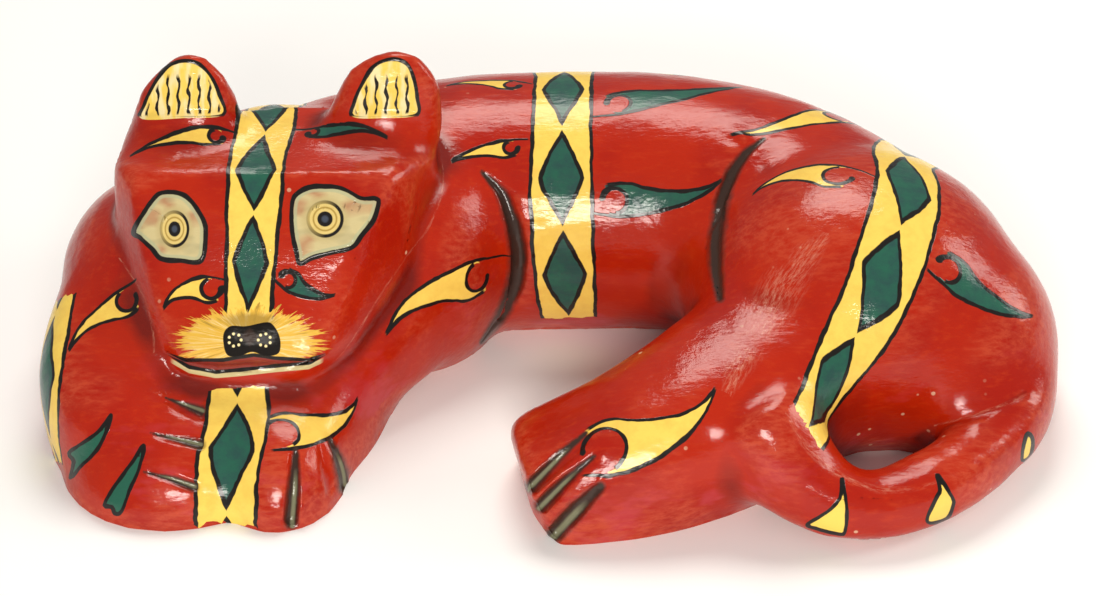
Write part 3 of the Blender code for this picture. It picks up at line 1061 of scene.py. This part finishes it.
def leaf_paint(paint):
    """Hooked leaves that break like a wave, each round its own bite."""
    bench, start, end = group("Hooked leaves", paint)
    shake_s, shake_t, shake_ink = hand_wobble(bench)
    along, across, green = bench.triple("leaf")
    length, width, stem_end = bench.triple("leaf_size")
    painted = bench.above(stem_end, 0.5, 0.1)
    s = bench.plus(along, bench.over(bench.times(shake_s, 0.0014), length))
    t = bench.plus(across, bench.over(bench.times(shake_t, 0.0014), width))
    stem = bench.less(t, bench.curve(s, STEM_LINE, -1, 1))
    stem = bench.times(stem, width)
    hook = bench.less(bench.curve(s, HOOK_LINE, -1, 1), t)
    hook = bench.times(hook, width)
    curl_x = bench.times(bench.less(s, 1.0), length)
    curl_y = bench.times(bench.plus(t, 0.05), width)
    radius = bench.reach(curl_x, curl_y)
    ring = bench.times_plus(width, -0.36, radius)
    started = bench.above(s, 0.0, 0.02)
    inside = bench.least(stem, hook, ring)
    fill = bench.both(bench.above(inside, 0.0), bench.below(s, 1.06, 0.02), started, painted)
    pen = bench.times_plus(shake_ink, 0.0009, paint.line_width * 0.5)
    stem_pen = bench.times(pen, bench.ramp(s, 1.0, 1.46, 1.0, 0.35))
    stem_ink = bench.both(bench.line(stem, stem_pen), bench.below(s, stem_end, 0.03))
    hook_ink = bench.both(bench.line(hook, pen), bench.below(s, 1.04, 0.03))
    lower = bench.times_plus(width, -0.12, curl_y)
    drawn = bench.above(bench.most(bench.times(curl_x, -1.0), lower), 0.0, 0.0006)
    ring_pen = bench.times(pen, bench.ramp(bench.over(curl_x, width), -0.1, 0.33, 1.0, 1.7))
    ring_ink = bench.both(bench.line(ring, ring_pen), drawn)
    blob_x = bench.times_plus(width, -0.33, curl_x)
    blob_y = bench.times_plus(width, -0.14, curl_y)
    blob = bench.reach(blob_x, blob_y)
    blob_ink = bench.below(blob, bench.times(pen, 1.7))
    ink = bench.most(stem_ink, hook_ink, ring_ink, blob_ink)
    ink = bench.both(ink, started, painted)
    shade = bench.ramp(bench.grain(bench.place(), 170.0, 3.0, 0.6), 0.38, 0.7)
    yellow_colour = bench.paint("yellow", "yellow_shade", shade)
    green_colour = bench.paint("green", "green_shade", shade)
    leaf_colour = bench.paint(yellow_colour, green_colour, green)
    colour = bench.paint(start.outputs["Ground"], leaf_colour, fill)
    colour = bench.paint(colour, "ink", ink)
    return finish_group(bench, end, {"Colour": colour, "Mask": bench.most(fill, ink)})


def small_paint(paint):
    """Small leaves and drops, and the grooves' dark bottoms."""
    bench, start, end = group("Drops and grooves", paint)
    shake, _, shake_ink = hand_wobble(bench)
    gap, green, _ = bench.triple("small_leaf")
    gap = bench.times_plus(shake, 0.0008, gap)
    fill = bench.above(gap, 0.0)
    ink = bench.line(gap, bench.times_plus(shake_ink, 0.0008, paint.line_width * 0.5))
    leaf_colour = bench.paint("yellow", "green", green)
    colour = bench.paint(start.outputs["Ground"], leaf_colour, fill)
    colour = bench.paint(colour, "ink", ink)
    share, onward, side = bench.triple("gouge")
    streak = bench.grain(bench.place(), 220.0, 3.0, 0.7)
    share = bench.plus(share, bench.times(bench.less(streak, 0.5), 0.7))
    dark = bench.below(share, 0.9, 0.8)
    off_middle = bench.size(bench.plus(side, 0.15))
    middle = bench.both(
        bench.below(off_middle, 0.27, 0.25), bench.ramp(onward, 0.25, 0.5), bench.below(share, 0.7, 0.3)
    )
    colour = bench.paint(colour, "groove", dark)
    colour = bench.paint(colour, "groove_fill", middle)
    mask = bench.most(fill, ink, dark)
    return finish_group(bench, end, {"Colour": colour, "Mask": mask})


def lacquer_ground(paint):
    """Brushed orange-red lacquer: painted shade darkens its creases, it is pinker in patches low down, and
    its ridges are paler with worn paint and painted sheen.
    """
    bench, _, end = group("Red lacquer", paint, ("Streak", "Speck"), on_ground=False)
    place = bench.place()
    streak = bench.grain(bench.scaled(place, (0.3, 1.0, 1.0)), 420.0, 4.0, 0.65)
    cloud = bench.grain(place, 26.0, 3.0, 0.55)
    colour = bench.paint("red", "red_deep", bench.ramp(cloud, 0.42, 0.62))
    colour = bench.paint(colour, "red_bright", bench.times(bench.ramp(streak, 0.52, 0.72), 0.5))
    blush = bench.grain(bench.scaled(place, (0.6, 1.0, 1.4)), 34.0, 4.0, 0.6)
    hollow, ridge, height = bench.triple("relief")
    low = bench.ramp(height, 0.055, 0.015)
    pink = bench.both(bench.ramp(blush, 0.56, 0.66), low)
    colour = bench.paint(colour, "pink", bench.times(pink, 0.55))
    # Painted shade: the lacquer is darkened in the creases, where shade falls.
    painted_shade = bench.times(bench.ramp(hollow, 0.25, 1.2), 0.75)
    colour = bench.paint(colour, "red_dark", painted_shade)
    # Paler along ridges: partly paint worn thin, partly a painted highlight where the ridges catch the
    # light.
    worn_sheen = bench.both(bench.ramp(ridge, 0.35, 1.1), bench.ramp(streak, 0.35, 0.6))
    colour = bench.paint(colour, "worn_sheen", bench.times(worn_sheen, 0.3))
    # Pale lines along edges: lacquer rubbed thin, and a painted highlight where the edges catch the light.
    off_line, on_line, sheen_half = bench.triple("wear")
    scratch = bench.grain(bench.joined(off_line, bench.times(on_line, 0.2), 0.0), 900.0, 4.0, 0.8)
    share = bench.over(bench.size(off_line), sheen_half)
    rubbed = bench.both(bench.below(share, 0.6, 0.8), bench.ramp(scratch, 0.44, 0.64))
    rubbed = bench.both(rubbed, bench.ramp(bench.grain(place, 60.0, 2.0, 0.6), 0.32, 0.52))
    colour = bench.paint(colour, "rubbed", bench.times(rubbed, 0.38))
    specks = bench.add(
        "ShaderNodeTexVoronoi", {"Vector": place, "Scale": 120.0, "Randomness": 1.0}, 0, feature="F1"
    )
    some = bench.above(bench.grain(place, 19.0, 1.0), 0.62, 0.05)
    speck = bench.both(bench.below(specks, 0.10, 0.04), some)
    colour = bench.paint(colour, "chip", bench.times(speck, 0.7))
    return finish_group(bench, end, {"Colour": colour, "Streak": streak, "Speck": speck})


def oval_place(bench, across, down, oval):
    """Across and down from an oval's middle, in shares of its reach."""
    x, y, wide, high = oval
    return bench.over(bench.less(across, x), wide), bench.over(bench.less(down, y), high)


def muzzle_paint(bench, colour, picture, upper_lip):
    """The yellow tuft round the nose, with light and dark hairs and a shaded bridge."""
    across, down, shown = picture
    x, y = oval_place(bench, across, down, MUZZLE)
    reach = bench.reach(x, y)
    angle = bench.math("ARCTAN2", y, x)
    hair = bench.flat_grain(bench.times(angle, 8.0), bench.times(reach, 0.9), 4.0, 0.75)
    furred = bench.times_plus(bench.less(hair, 0.5), 1.5, reach)
    above_lip = bench.below(upper_lip, 0.0, PAINT_EDGE_PIXELS)
    muzzle = bench.both(bench.below(furred, 0.88, 0.06), above_lip, shown)
    tuft = bench.paint("muzzle", "cream", bench.ramp(hair, 0.50, 0.66))
    tuft = bench.paint(tuft, "olive", bench.times(bench.ramp(hair, 0.44, 0.34), 0.8))
    colour = bench.paint(colour, tuft, muzzle)
    bridge = bench.reach(*oval_place(bench, across, down, BRIDGE))
    bridge = bench.both(bench.below(bench.times_plus(hair, 0.9, bridge), 1.3, 0.5), shown)
    return bench.paint(colour, "olive", bench.times(bridge, 0.8)), muzzle


def lip_paint(bench, colour, lips, pen):
    """The mouth's red, the lips' inked lines and the pale strip of the lower lip."""
    soft = PAINT_EDGE_PIXELS
    upper, lower, ends = lips
    open_lips = bench.both(bench.above(upper, 0.0, soft), bench.below(lower, 0.0, soft))
    colour = bench.paint(colour, "mouth", bench.both(open_lips, bench.above(ends, 0.0, 0.2)))
    strip = bench.both(bench.line(bench.less(lower, 3.9), 2.3, soft), bench.above(ends, 0.3, 0.3))
    colour = bench.paint(colour, "eye_white", strip)
    pen = bench.times(pen, bench.most(ends, 0.0))
    ink = bench.most(bench.line(upper, pen, soft), bench.line(lower, pen, soft))
    return bench.paint(colour, "ink", bench.both(ink, bench.above(ends, 0.02, 0.03)))


def nose_paint(bench, colour, picture, nose, shaken):
    """The black nose, brown in the middle with worn paint and a painted highlight, with a ring of dots for
    each nostril.
    """
    soft = PAINT_EDGE_PIXELS
    across, down, _ = picture
    colour = bench.paint(colour, "ink", bench.above(shaken, 0.0, soft))
    x = bench.less(bench.size(bench.less(across, NOSTRILS[0])), NOSTRILS[2])
    y = bench.less(down, NOSTRILS[1])
    off_middle = bench.plus(bench.size(bench.plus(x, NOSTRILS[2])), bench.size(bench.plus(y, 3.0)))
    # Brown middle of the nose: worn paint and a painted highlight.
    worn_sheen = bench.both(bench.below(off_middle, 9.0, 5.0), bench.above(shaken, 2.0, soft))
    colour = bench.paint(colour, "groove", bench.times(worn_sheen, 0.8))
    turn = bench.times(bench.math("ARCTAN2", y, x), NOSTRIL_DOTS / math.tau)
    dot_arc = math.tau / NOSTRIL_DOTS * NOSTRIL_RING
    arc = bench.times(bench.less(bench.math("FRACT", turn), 0.5), dot_arc)
    dot = bench.reach(arc, bench.less(bench.reach(x, y), NOSTRIL_RING))
    dots = bench.both(bench.below(dot, NOSTRIL_DOT, soft), bench.above(nose, 1.0, soft))
    return bench.paint(colour, "cream", dots)


def eye_paint(bench, eye):
    """The inside of an eye: beige with pink-brown wedges, and the ringed iris and its pupil."""
    x, y, _ = bench.triple("iris")
    iris = bench.reach(x, y)
    veins = bench.flat_grain(bench.times(x, 0.55), bench.times(y, 1.5), 1.0, height=3.7)
    colour = bench.paint("eye_white", "groove_fill", bench.times(bench.ramp(veins, 0.5, 0.75), 0.45))
    ray = bench.times_plus(bench.less(veins, 0.5), 0.7, bench.math("ARCTAN2", y, x))
    for turn in EYE_WEDGES:
        off_ray = bench.size(bench.less(ray, turn))
        wedge = bench.both(bench.below(off_ray, 0.24, 0.4), bench.above(iris, 1.3, 0.3))
        colour = bench.paint(colour, "eye_red", bench.times(wedge, 0.65))
    halo = bench.ramp(iris, 1.12, 0.95)
    shadow = bench.both(bench.below(iris, 1.3, 0.5), bench.above(iris, 0.95, 0.1))
    colour = bench.paint(colour, "olive", bench.times(shadow, 0.3))
    colour = bench.paint(colour, "yellow", bench.times(halo, 0.45))
    rim = bench.both(bench.below(eye, 5.0, 1.5), bench.above(eye, 1.5, 1.0))
    colour = bench.paint(colour, "eye_rim", bench.times(rim, 0.75))
    shade = bench.ramp(bench.plus(x, bench.times(y, 0.4)), -1.0, 0.4, 0.35, 1.0)
    outer_ring = bench.both(bench.line(bench.less(iris, 1.0), 0.1, 0.05), shade)
    colour = bench.paint(colour, "ink", outer_ring)
    inner_ring = bench.line(bench.less(iris, 0.68), 0.05, 0.06)
    colour = bench.paint(colour, "olive", bench.times(inner_ring, 0.85))
    colour = bench.paint(colour, "ink", bench.below(iris, 0.45, 0.05))
    return bench.paint(colour, "pupil_light", bench.times(bench.below(iris, 0.20, 0.12), 0.7))


def lining_paint(bench, picture, lining):
    """An ear's yellow lining, with pale haze and wavy strokes down it."""
    across, down, _ = picture
    first, spacing = STROKES
    wave = bench.math("SINE", bench.times_plus(down, 0.32, bench.times(across, 0.19)))
    x = bench.plus(across, bench.times(wave, 0.9))
    column = bench.less(bench.math("FRACT", bench.times(bench.less(x, first), 1 / spacing)), 0.5)
    column = bench.size(bench.times(column, spacing))
    dashes = bench.flat_grain(bench.times(across, 0.09), bench.times(down, 0.10), 1.0)
    stroke = bench.below(column, bench.ramp(dashes, 0.36, 0.6, 0.7, 1.8), PAINT_EDGE_PIXELS)
    stroke = bench.both(stroke, bench.above(down, 76.0, 5.0), bench.above(lining, 4.0, 2.0))
    haze = bench.flat_grain(bench.times(across, 0.11), bench.times(down, 0.03), 2.0)
    colour = bench.paint("yellow", "cream", bench.ramp(haze, 0.45, 0.62))
    return bench.paint(colour, "ink", stroke)


def face_paint(paint):
    """Muzzle, mouth, nose, eyes and the ears' yellow linings."""
    bench, start, end = group("Painted face", paint)
    soft = PAINT_EDGE_PIXELS
    shake_x, shake_y, shake_ink = hand_wobble(bench)
    pen = bench.times_plus(shake_ink, 2.0, paint.line_width / PIXEL * 0.5)
    picture, lips = bench.triple("picture"), bench.triple("lips")
    eye, nose, lining = bench.triple("marks")
    colour, muzzle = muzzle_paint(bench, start.outputs["Ground"], picture, lips[0])
    colour = lip_paint(bench, colour, lips, pen)
    colour = nose_paint(bench, colour, picture, nose, bench.times_plus(shake_x, 1.5, nose))
    eye = bench.times_plus(shake_y, 1.2, eye)
    white, lined = bench.above(eye, 0.0, soft), bench.above(lining, 0.0, soft)
    colour = bench.paint(colour, eye_paint(bench, eye), white)
    eye_ink = bench.line(bench.plus(eye, 0.6), bench.times(pen, 1.25), soft)
    colour = bench.paint(colour, "ink", eye_ink)
    colour = bench.paint(colour, lining_paint(bench, picture, lining), lined)
    top_edge = bench.both(bench.line(lining, pen, soft), bench.below(picture[1], 116.5, 2.0))
    colour = bench.paint(colour, "ink", top_edge)
    return finish_group(bench, end, {"Colour": colour, "Mask": bench.most(muzzle, white, lined)})


def lacquer_shader(material, paint, coats):
    """A glossy coat over the ground and the given painted groups, in their order."""
    material.use_nodes = True
    tree = material.node_tree
    shader = tree.nodes["Principled BSDF"]
    bench = Bench(tree, paint)
    ground = tree.nodes.new("ShaderNodeGroup")
    ground.node_tree = bpy.data.node_groups["Red lacquer"]
    colour, streak, speck = ground.outputs
    mask = None
    for name in coats:
        coat = tree.nodes.new("ShaderNodeGroup")
        coat.node_tree = bpy.data.node_groups[name]
        tree.links.new(colour, coat.inputs[0])
        colour = coat.outputs[0]
        mask = coat.outputs[1] if mask is None else bench.most(mask, coat.outputs[1])
    tree.links.new(colour, shader.inputs["Base Color"])
    place = bench.place()
    fine = bench.grain(bench.scaled(place, (0.5, 1.0, 1.0)), 420.0, 4.0, 0.7)
    roughness = bench.times_plus(fine, paint.roughness_spread, paint.roughness - paint.roughness_spread / 2)
    roughness = bench.times_plus(mask, 0.06, roughness)
    roughness = bench.times_plus(speck, 0.2, roughness)
    tree.links.new(roughness, shader.inputs["Roughness"])
    swell = bench.grain(place, 90.0, 3.0, 0.55)
    height = bench.plus(swell, bench.times(streak, 0.45))
    height = bench.times_plus(fine, 0.16, height)
    height = bench.times_plus(mask, 0.12, height)
    bump = bench.add("ShaderNodeBump", {"Height": height, "Strength": paint.relief, "Distance": 0.0012})
    tree.links.new(bump, shader.inputs["Normal"])
    tree.links.new(bump, shader.inputs["Coat Normal"])
    shader.inputs["Coat Weight"].default_value = paint.gloss
    if "Painted face" in coats:
        _, nose, _ = bench.triple("marks")
        gloss = bench.times_plus(bench.above(nose, 0.0, 1.0), -MATT_NOSE * paint.gloss, paint.gloss)
        tree.links.new(gloss, shader.inputs["Coat Weight"])
    shader.inputs["Coat Roughness"].default_value = 0.08
    shader.inputs["Specular IOR Level"].default_value = 0.06


def bare_wood(material, paint):
    """The unpainted underside: dusty wood with its grain, and red that ran over the edge."""
    material.use_nodes = True
    tree = material.node_tree
    shader = tree.nodes["Principled BSDF"]
    bench = Bench(tree, paint)
    place = bench.place()
    rings = bench.grain(bench.scaled(place, (0.12, 1.0, 1.0)), 160.0, 4.0, 0.6)
    colour = bench.paint("wood", "wood_dark", bench.ramp(rings, 0.4, 0.65))
    stain = bench.ramp(bench.grain(place, 30.0, 4.0, 0.6), 0.55, 0.7)
    colour = bench.paint(colour, "red_dark", bench.times(stain, 0.5))
    tree.links.new(colour, shader.inputs["Base Color"])
    tree.links.new(bench.ramp(rings, 0.2, 0.8, 0.65, 0.9), shader.inputs["Roughness"])
    bump = bench.add("ShaderNodeBump", {"Height": rings, "Strength": 0.4, "Distance": 0.0006})
    tree.links.new(bump, shader.inputs["Normal"])


def paint_cat(paint):
    """Gives the cat its lacquered skin, its face and its bare underside."""
    cat = bpy.data.objects["lacquered_cat"]
    for make in (lacquer_ground, band_paint, leaf_paint, small_paint, face_paint):
        make(paint)
    names = ("red_lacquer", "painted_face", "bare_wood")
    body, face, underside = (bpy.data.materials.new(name) for name in names)
    lacquer_shader(body, paint, ("Hooked leaves", "Painted bands", "Drops and grooves"))
    lacquer_shader(face, paint, ("Hooked leaves", "Painted bands", "Painted face"))
    bare_wood(underside, paint)
    for material in (body, face, underside):
        cat.data.materials.append(material)


# The side of the floor, in metres.
FLOOR = 6.0
# The soft lights: name, setting of their power, direction in degrees, distance and size in metres.
LIGHTS = [
    ("front_softbox", "front_power", -3, 25, 1.3, (0.52, 0.27)),
    ("top_softbox", "top_power", 178, 60, 1.2, (0.7, 0.55)),
    ("right_softbox", "side_power", 99, 24, 1.2, (0.32, 0.6)),
]


def pale_floor(studio):
    """The wide sheet of paper that the cat lies on."""
    work = bmesh.new()
    bmesh.ops.create_grid(work, x_segments=1, y_segments=1, size=FLOOR / 2)
    mesh = bpy.data.meshes.new("pale_floor")
    work.to_mesh(mesh)
    work.free()
    floor = bpy.data.objects.new("pale_floor", mesh)
    bpy.context.scene.collection.objects.link(floor)
    material = bpy.data.materials.new("white_paper")
    material.use_nodes = True
    shader = material.node_tree.nodes["Principled BSDF"]
    shader.inputs["Base Color"].default_value = (*studio.floor_colour, 1.0)
    shader.inputs["Roughness"].default_value = 0.85
    shader.inputs["Specular IOR Level"].default_value = 0.2
    mesh.materials.append(material)


def softbox(name, azimuth, elevation, distance, size, power, colour):
    """An oval soft light that looks at the cat from a direction in degrees."""
    light = bpy.data.lights.new(name, "AREA")
    light.shape = "ELLIPSE"
    light.size, light.size_y = size
    light.energy = power
    light.color = colour
    lamp = bpy.data.objects.new(name, light)
    turn, lift = math.radians(azimuth), math.radians(elevation)
    back = Vector((math.sin(turn) * math.cos(lift), -math.cos(turn) * math.cos(lift), math.sin(lift)))
    lamp.location = AIM + back * distance
    lamp.rotation_euler = (-back).to_track_quat("-Z", "Y").to_euler()
    bpy.context.scene.collection.objects.link(lamp)


def stage_cat(studio):
    """The floor, the lights, the pale surroundings and the camera."""
    scene = bpy.context.scene
    pale_floor(studio)
    for name, power, azimuth, elevation, distance, size in LIGHTS:
        softbox(name, azimuth, elevation, distance, size, getattr(studio, power), studio.light_colour)
    world = bpy.data.worlds.new("pale_surroundings")
    world.use_nodes = True
    background = world.node_tree.nodes["Background"]
    background.inputs["Color"].default_value = (1, 1, 1, 1)
    background.inputs["Strength"].default_value = studio.surroundings
    scene.world = world
    scene.view_settings.view_transform = "Standard"
    lens = bpy.data.cameras.new("camera")
    lens.lens = LENS
    lens.sensor_width = SENSOR
    camera = bpy.data.objects.new("camera", lens)
    sight = Sight()
    camera.location = sight.eye
    camera.rotation_euler = sight.forward.to_track_quat("-Z", "Y").to_euler()
    scene.collection.objects.link(camera)
    scene.camera = camera


def colour_property(name, description, default):
    words = {"name": name, "description": description, "subtype": "COLOR"}
    return FloatVectorProperty(default=default, min=0, max=1, **words)


def number_property(name, description, default, low, high, unit="NONE"):
    """A number between two limits. Without a unit it is a share."""
    subtype = "FACTOR" if unit == "NONE" else "NONE"
    words = {"name": name, "description": description, "unit": unit, "subtype": subtype}
    return FloatProperty(default=default, min=low, max=high, **words)


class CatCarving(bpy.types.PropertyGroup):
    longest_edge: number_property(
        "Longest edge", "Edges of the skin are divided until none is longer", 0.0033, 0.0015, 0.01, "LENGTH"
    )
    smoothing: IntProperty(
        name="Smoothing", description="Times that the skin is rubbed smooth", default=9, min=0, max=60
    )
    knife_depth: number_property(
        "Knife depth", "Depth of the shallow facets that the knife leaves", 0.0003, 0, 0.002, "LENGTH"
    )
    gouge_depth: number_property(
        "Groove depth", "Depth of a gouged line as a share of its half width", 0.35, 0, 2
    )
    ear_depth: number_property("Ear hollow", "Depth of the hollow in each ear", 0.0012, 0, 0.004, "LENGTH")


class CatPaint(bpy.types.PropertyGroup):
    red: colour_property("Red", "The lacquer's main red", (0.43, 0.017, 0.002))
    red_bright: colour_property("Bright red", "Brush streaks", (0.50, 0.036, 0.005))
    red_deep: colour_property("Deep red", "Clouds where the lacquer is thicker", (0.36, 0.010, 0.002))
    # Dark red: painted shade in the creases, and the red that ran over onto the bare wood below.
    red_dark: colour_property("Dark red", "Lacquer and dirt in creases", (0.10, 0.008, 0.006))
    pink: colour_property("Pink", "Faded patches low on the legs and tail", (0.50, 0.05, 0.07))
    # Worn edge: paint worn thin along ridges, and a painted highlight there.
    worn_sheen: colour_property("Worn edge", "Thin paint along ridges", (0.64, 0.13, 0.06))
    # Rubbed edge: worn paint, and a painted highlight along the hind leg's ridge and the tail.
    rubbed: colour_property("Rubbed edge", "Edges where the lacquer is rubbed thin", (0.80, 0.42, 0.28))
    chip: colour_property("Chip", "Small chips in the paint", (0.75, 0.50, 0.32))
    yellow: colour_property("Yellow", "Bands and leaves", (0.90, 0.62, 0.11))
    yellow_shade: colour_property("Yellow shade", "Thinner yellow paint", (0.84, 0.53, 0.09))
    green: colour_property("Green", "Lozenges and leaves", (0.020, 0.110, 0.070))
    green_shade: colour_property("Green shade", "Darker green paint", (0.022, 0.075, 0.065))
    ink: colour_property("Ink", "Outlines, nose and pupils", (0.010, 0.008, 0.007))
    groove: colour_property("Groove", "The bottoms of the gouged lines", (0.042, 0.022, 0.016))
    groove_fill: colour_property("Groove filling", "Grey-green paint between the toes", (0.19, 0.19, 0.11))
    cream: colour_property("Cream", "Light strokes of the muzzle and ears", (0.90, 0.75, 0.38))
    olive: colour_property("Olive", "Dark strokes of the muzzle", (0.36, 0.22, 0.035))
    muzzle: colour_property("Muzzle", "Yellow of the muzzle", (0.78, 0.46, 0.06))
    mouth: colour_property("Mouth", "Red between the lips", (0.25, 0.03, 0.02))
    eye_white: colour_property("Eye", "Beige of the eyes and lower lip", (0.60, 0.50, 0.25))
    eye_rim: colour_property("Eye rim", "Pale green inside the eyes' outlines", (0.42, 0.44, 0.26))
    eye_red: colour_property("Eye corner", "Pink-brown in the eyes' corners", (0.42, 0.15, 0.075))
    pupil_light: colour_property("Pupil", "Bluish middle of the pupils", (0.07, 0.09, 0.13))
    wood: colour_property("Wood", "Bare wood below", (0.42, 0.27, 0.14))
    wood_dark: colour_property("Dark wood", "Grain of the bare wood", (0.25, 0.14, 0.07))
    line_width: number_property("Line width", "Width of an inked line", 0.0016, 0.0002, 0.005, "LENGTH")
    roughness: number_property("Roughness", "The lacquer's mean roughness", 0.34, 0.05, 1)
    roughness_spread: number_property("Roughness spread", "How far the brush marks change it", 0.25, 0, 0.5)
    relief: number_property("Brush relief", "How strongly brush marks catch the light", 0.34, 0, 1)
    gloss: number_property("Gloss", "Weight of the clear coat", 0.55, 0, 1)


class CatStudio(bpy.types.PropertyGroup):
    floor_colour: colour_property("Floor", "Paper of the floor and backdrop", (0.97, 0.97, 0.96))
    light_colour: colour_property("Light", "The soft lights' slightly warm white", (1.0, 0.95, 0.88))
    front_power: number_property("Front light", "Power of the soft light in front", 12.0, 0, 200, "POWER")
    top_power: number_property("Top light", "Power of the soft light above and behind", 9.0, 0, 200, "POWER")
    side_power: number_property("Side light", "Power of the soft light at the right", 4.0, 0, 200, "POWER")
    surroundings: number_property("Surroundings", "Brightness of the pale surroundings", 0.3, 0, 5)


class CAT_OT_carve(bpy.types.Operator):
    """Carve the cat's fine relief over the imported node, and measure its skin for the painter"""
    bl_idname = "carved_cat.carve"
    bl_label = "Carve the cat"

    def execute(self, context):
        cat = carve_cat(context.scene.cat_carving)
        lay_out(cat)
        return {"FINISHED"}


class CAT_OT_paint(bpy.types.Operator):
    """Lacquer and paint the cat"""
    bl_idname = "carved_cat.paint"
    bl_label = "Paint the cat"

    def execute(self, context):
        paint_cat(context.scene.cat_paint)
        return {"FINISHED"}


class CAT_OT_stage(bpy.types.Operator):
    """Set up the floor, the lights and the camera"""
    bl_idname = "carved_cat.stage"
    bl_label = "Light the cat"

    def execute(self, context):
        stage_cat(context.scene.cat_studio)
        return {"FINISHED"}


class CAT_PT_panel(bpy.types.Panel):
    bl_idname = "CAT_PT_panel"
    bl_label = "Carved cat"
    bl_space_type = "VIEW_3D"
    bl_region_type = "UI"
    bl_category = "Carved cat"

    def draw(self, context):
        scene = context.scene
        steps = {
            CAT_OT_carve: scene.cat_carving,
            CAT_OT_paint: scene.cat_paint,
            CAT_OT_stage: scene.cat_studio,
        }
        for operator, settings in steps.items():
            column = self.layout.column()
            for name in settings.__annotations__:
                column.prop(settings, name)
            column.operator(operator.bl_idname)


CLASSES = (CatCarving, CatPaint, CatStudio, CAT_OT_carve, CAT_OT_paint, CAT_OT_stage, CAT_PT_panel)
SETTINGS = {"cat_carving": CatCarving, "cat_paint": CatPaint, "cat_studio": CatStudio}


def register():
    for cls in CLASSES:
        bpy.utils.register_class(cls)
    for name, cls in SETTINGS.items():
        setattr(bpy.types.Scene, name, PointerProperty(type=cls))


def unregister():
    for name in SETTINGS:
        delattr(bpy.types.Scene, name)
    for cls in reversed(CLASSES):
        bpy.utils.unregister_class(cls)


def main():
    register()
    bpy.ops.carved_cat.carve()
    bpy.ops.carved_cat.paint()
    bpy.ops.carved_cat.stage()


if __name__ == "__main__":
    main()
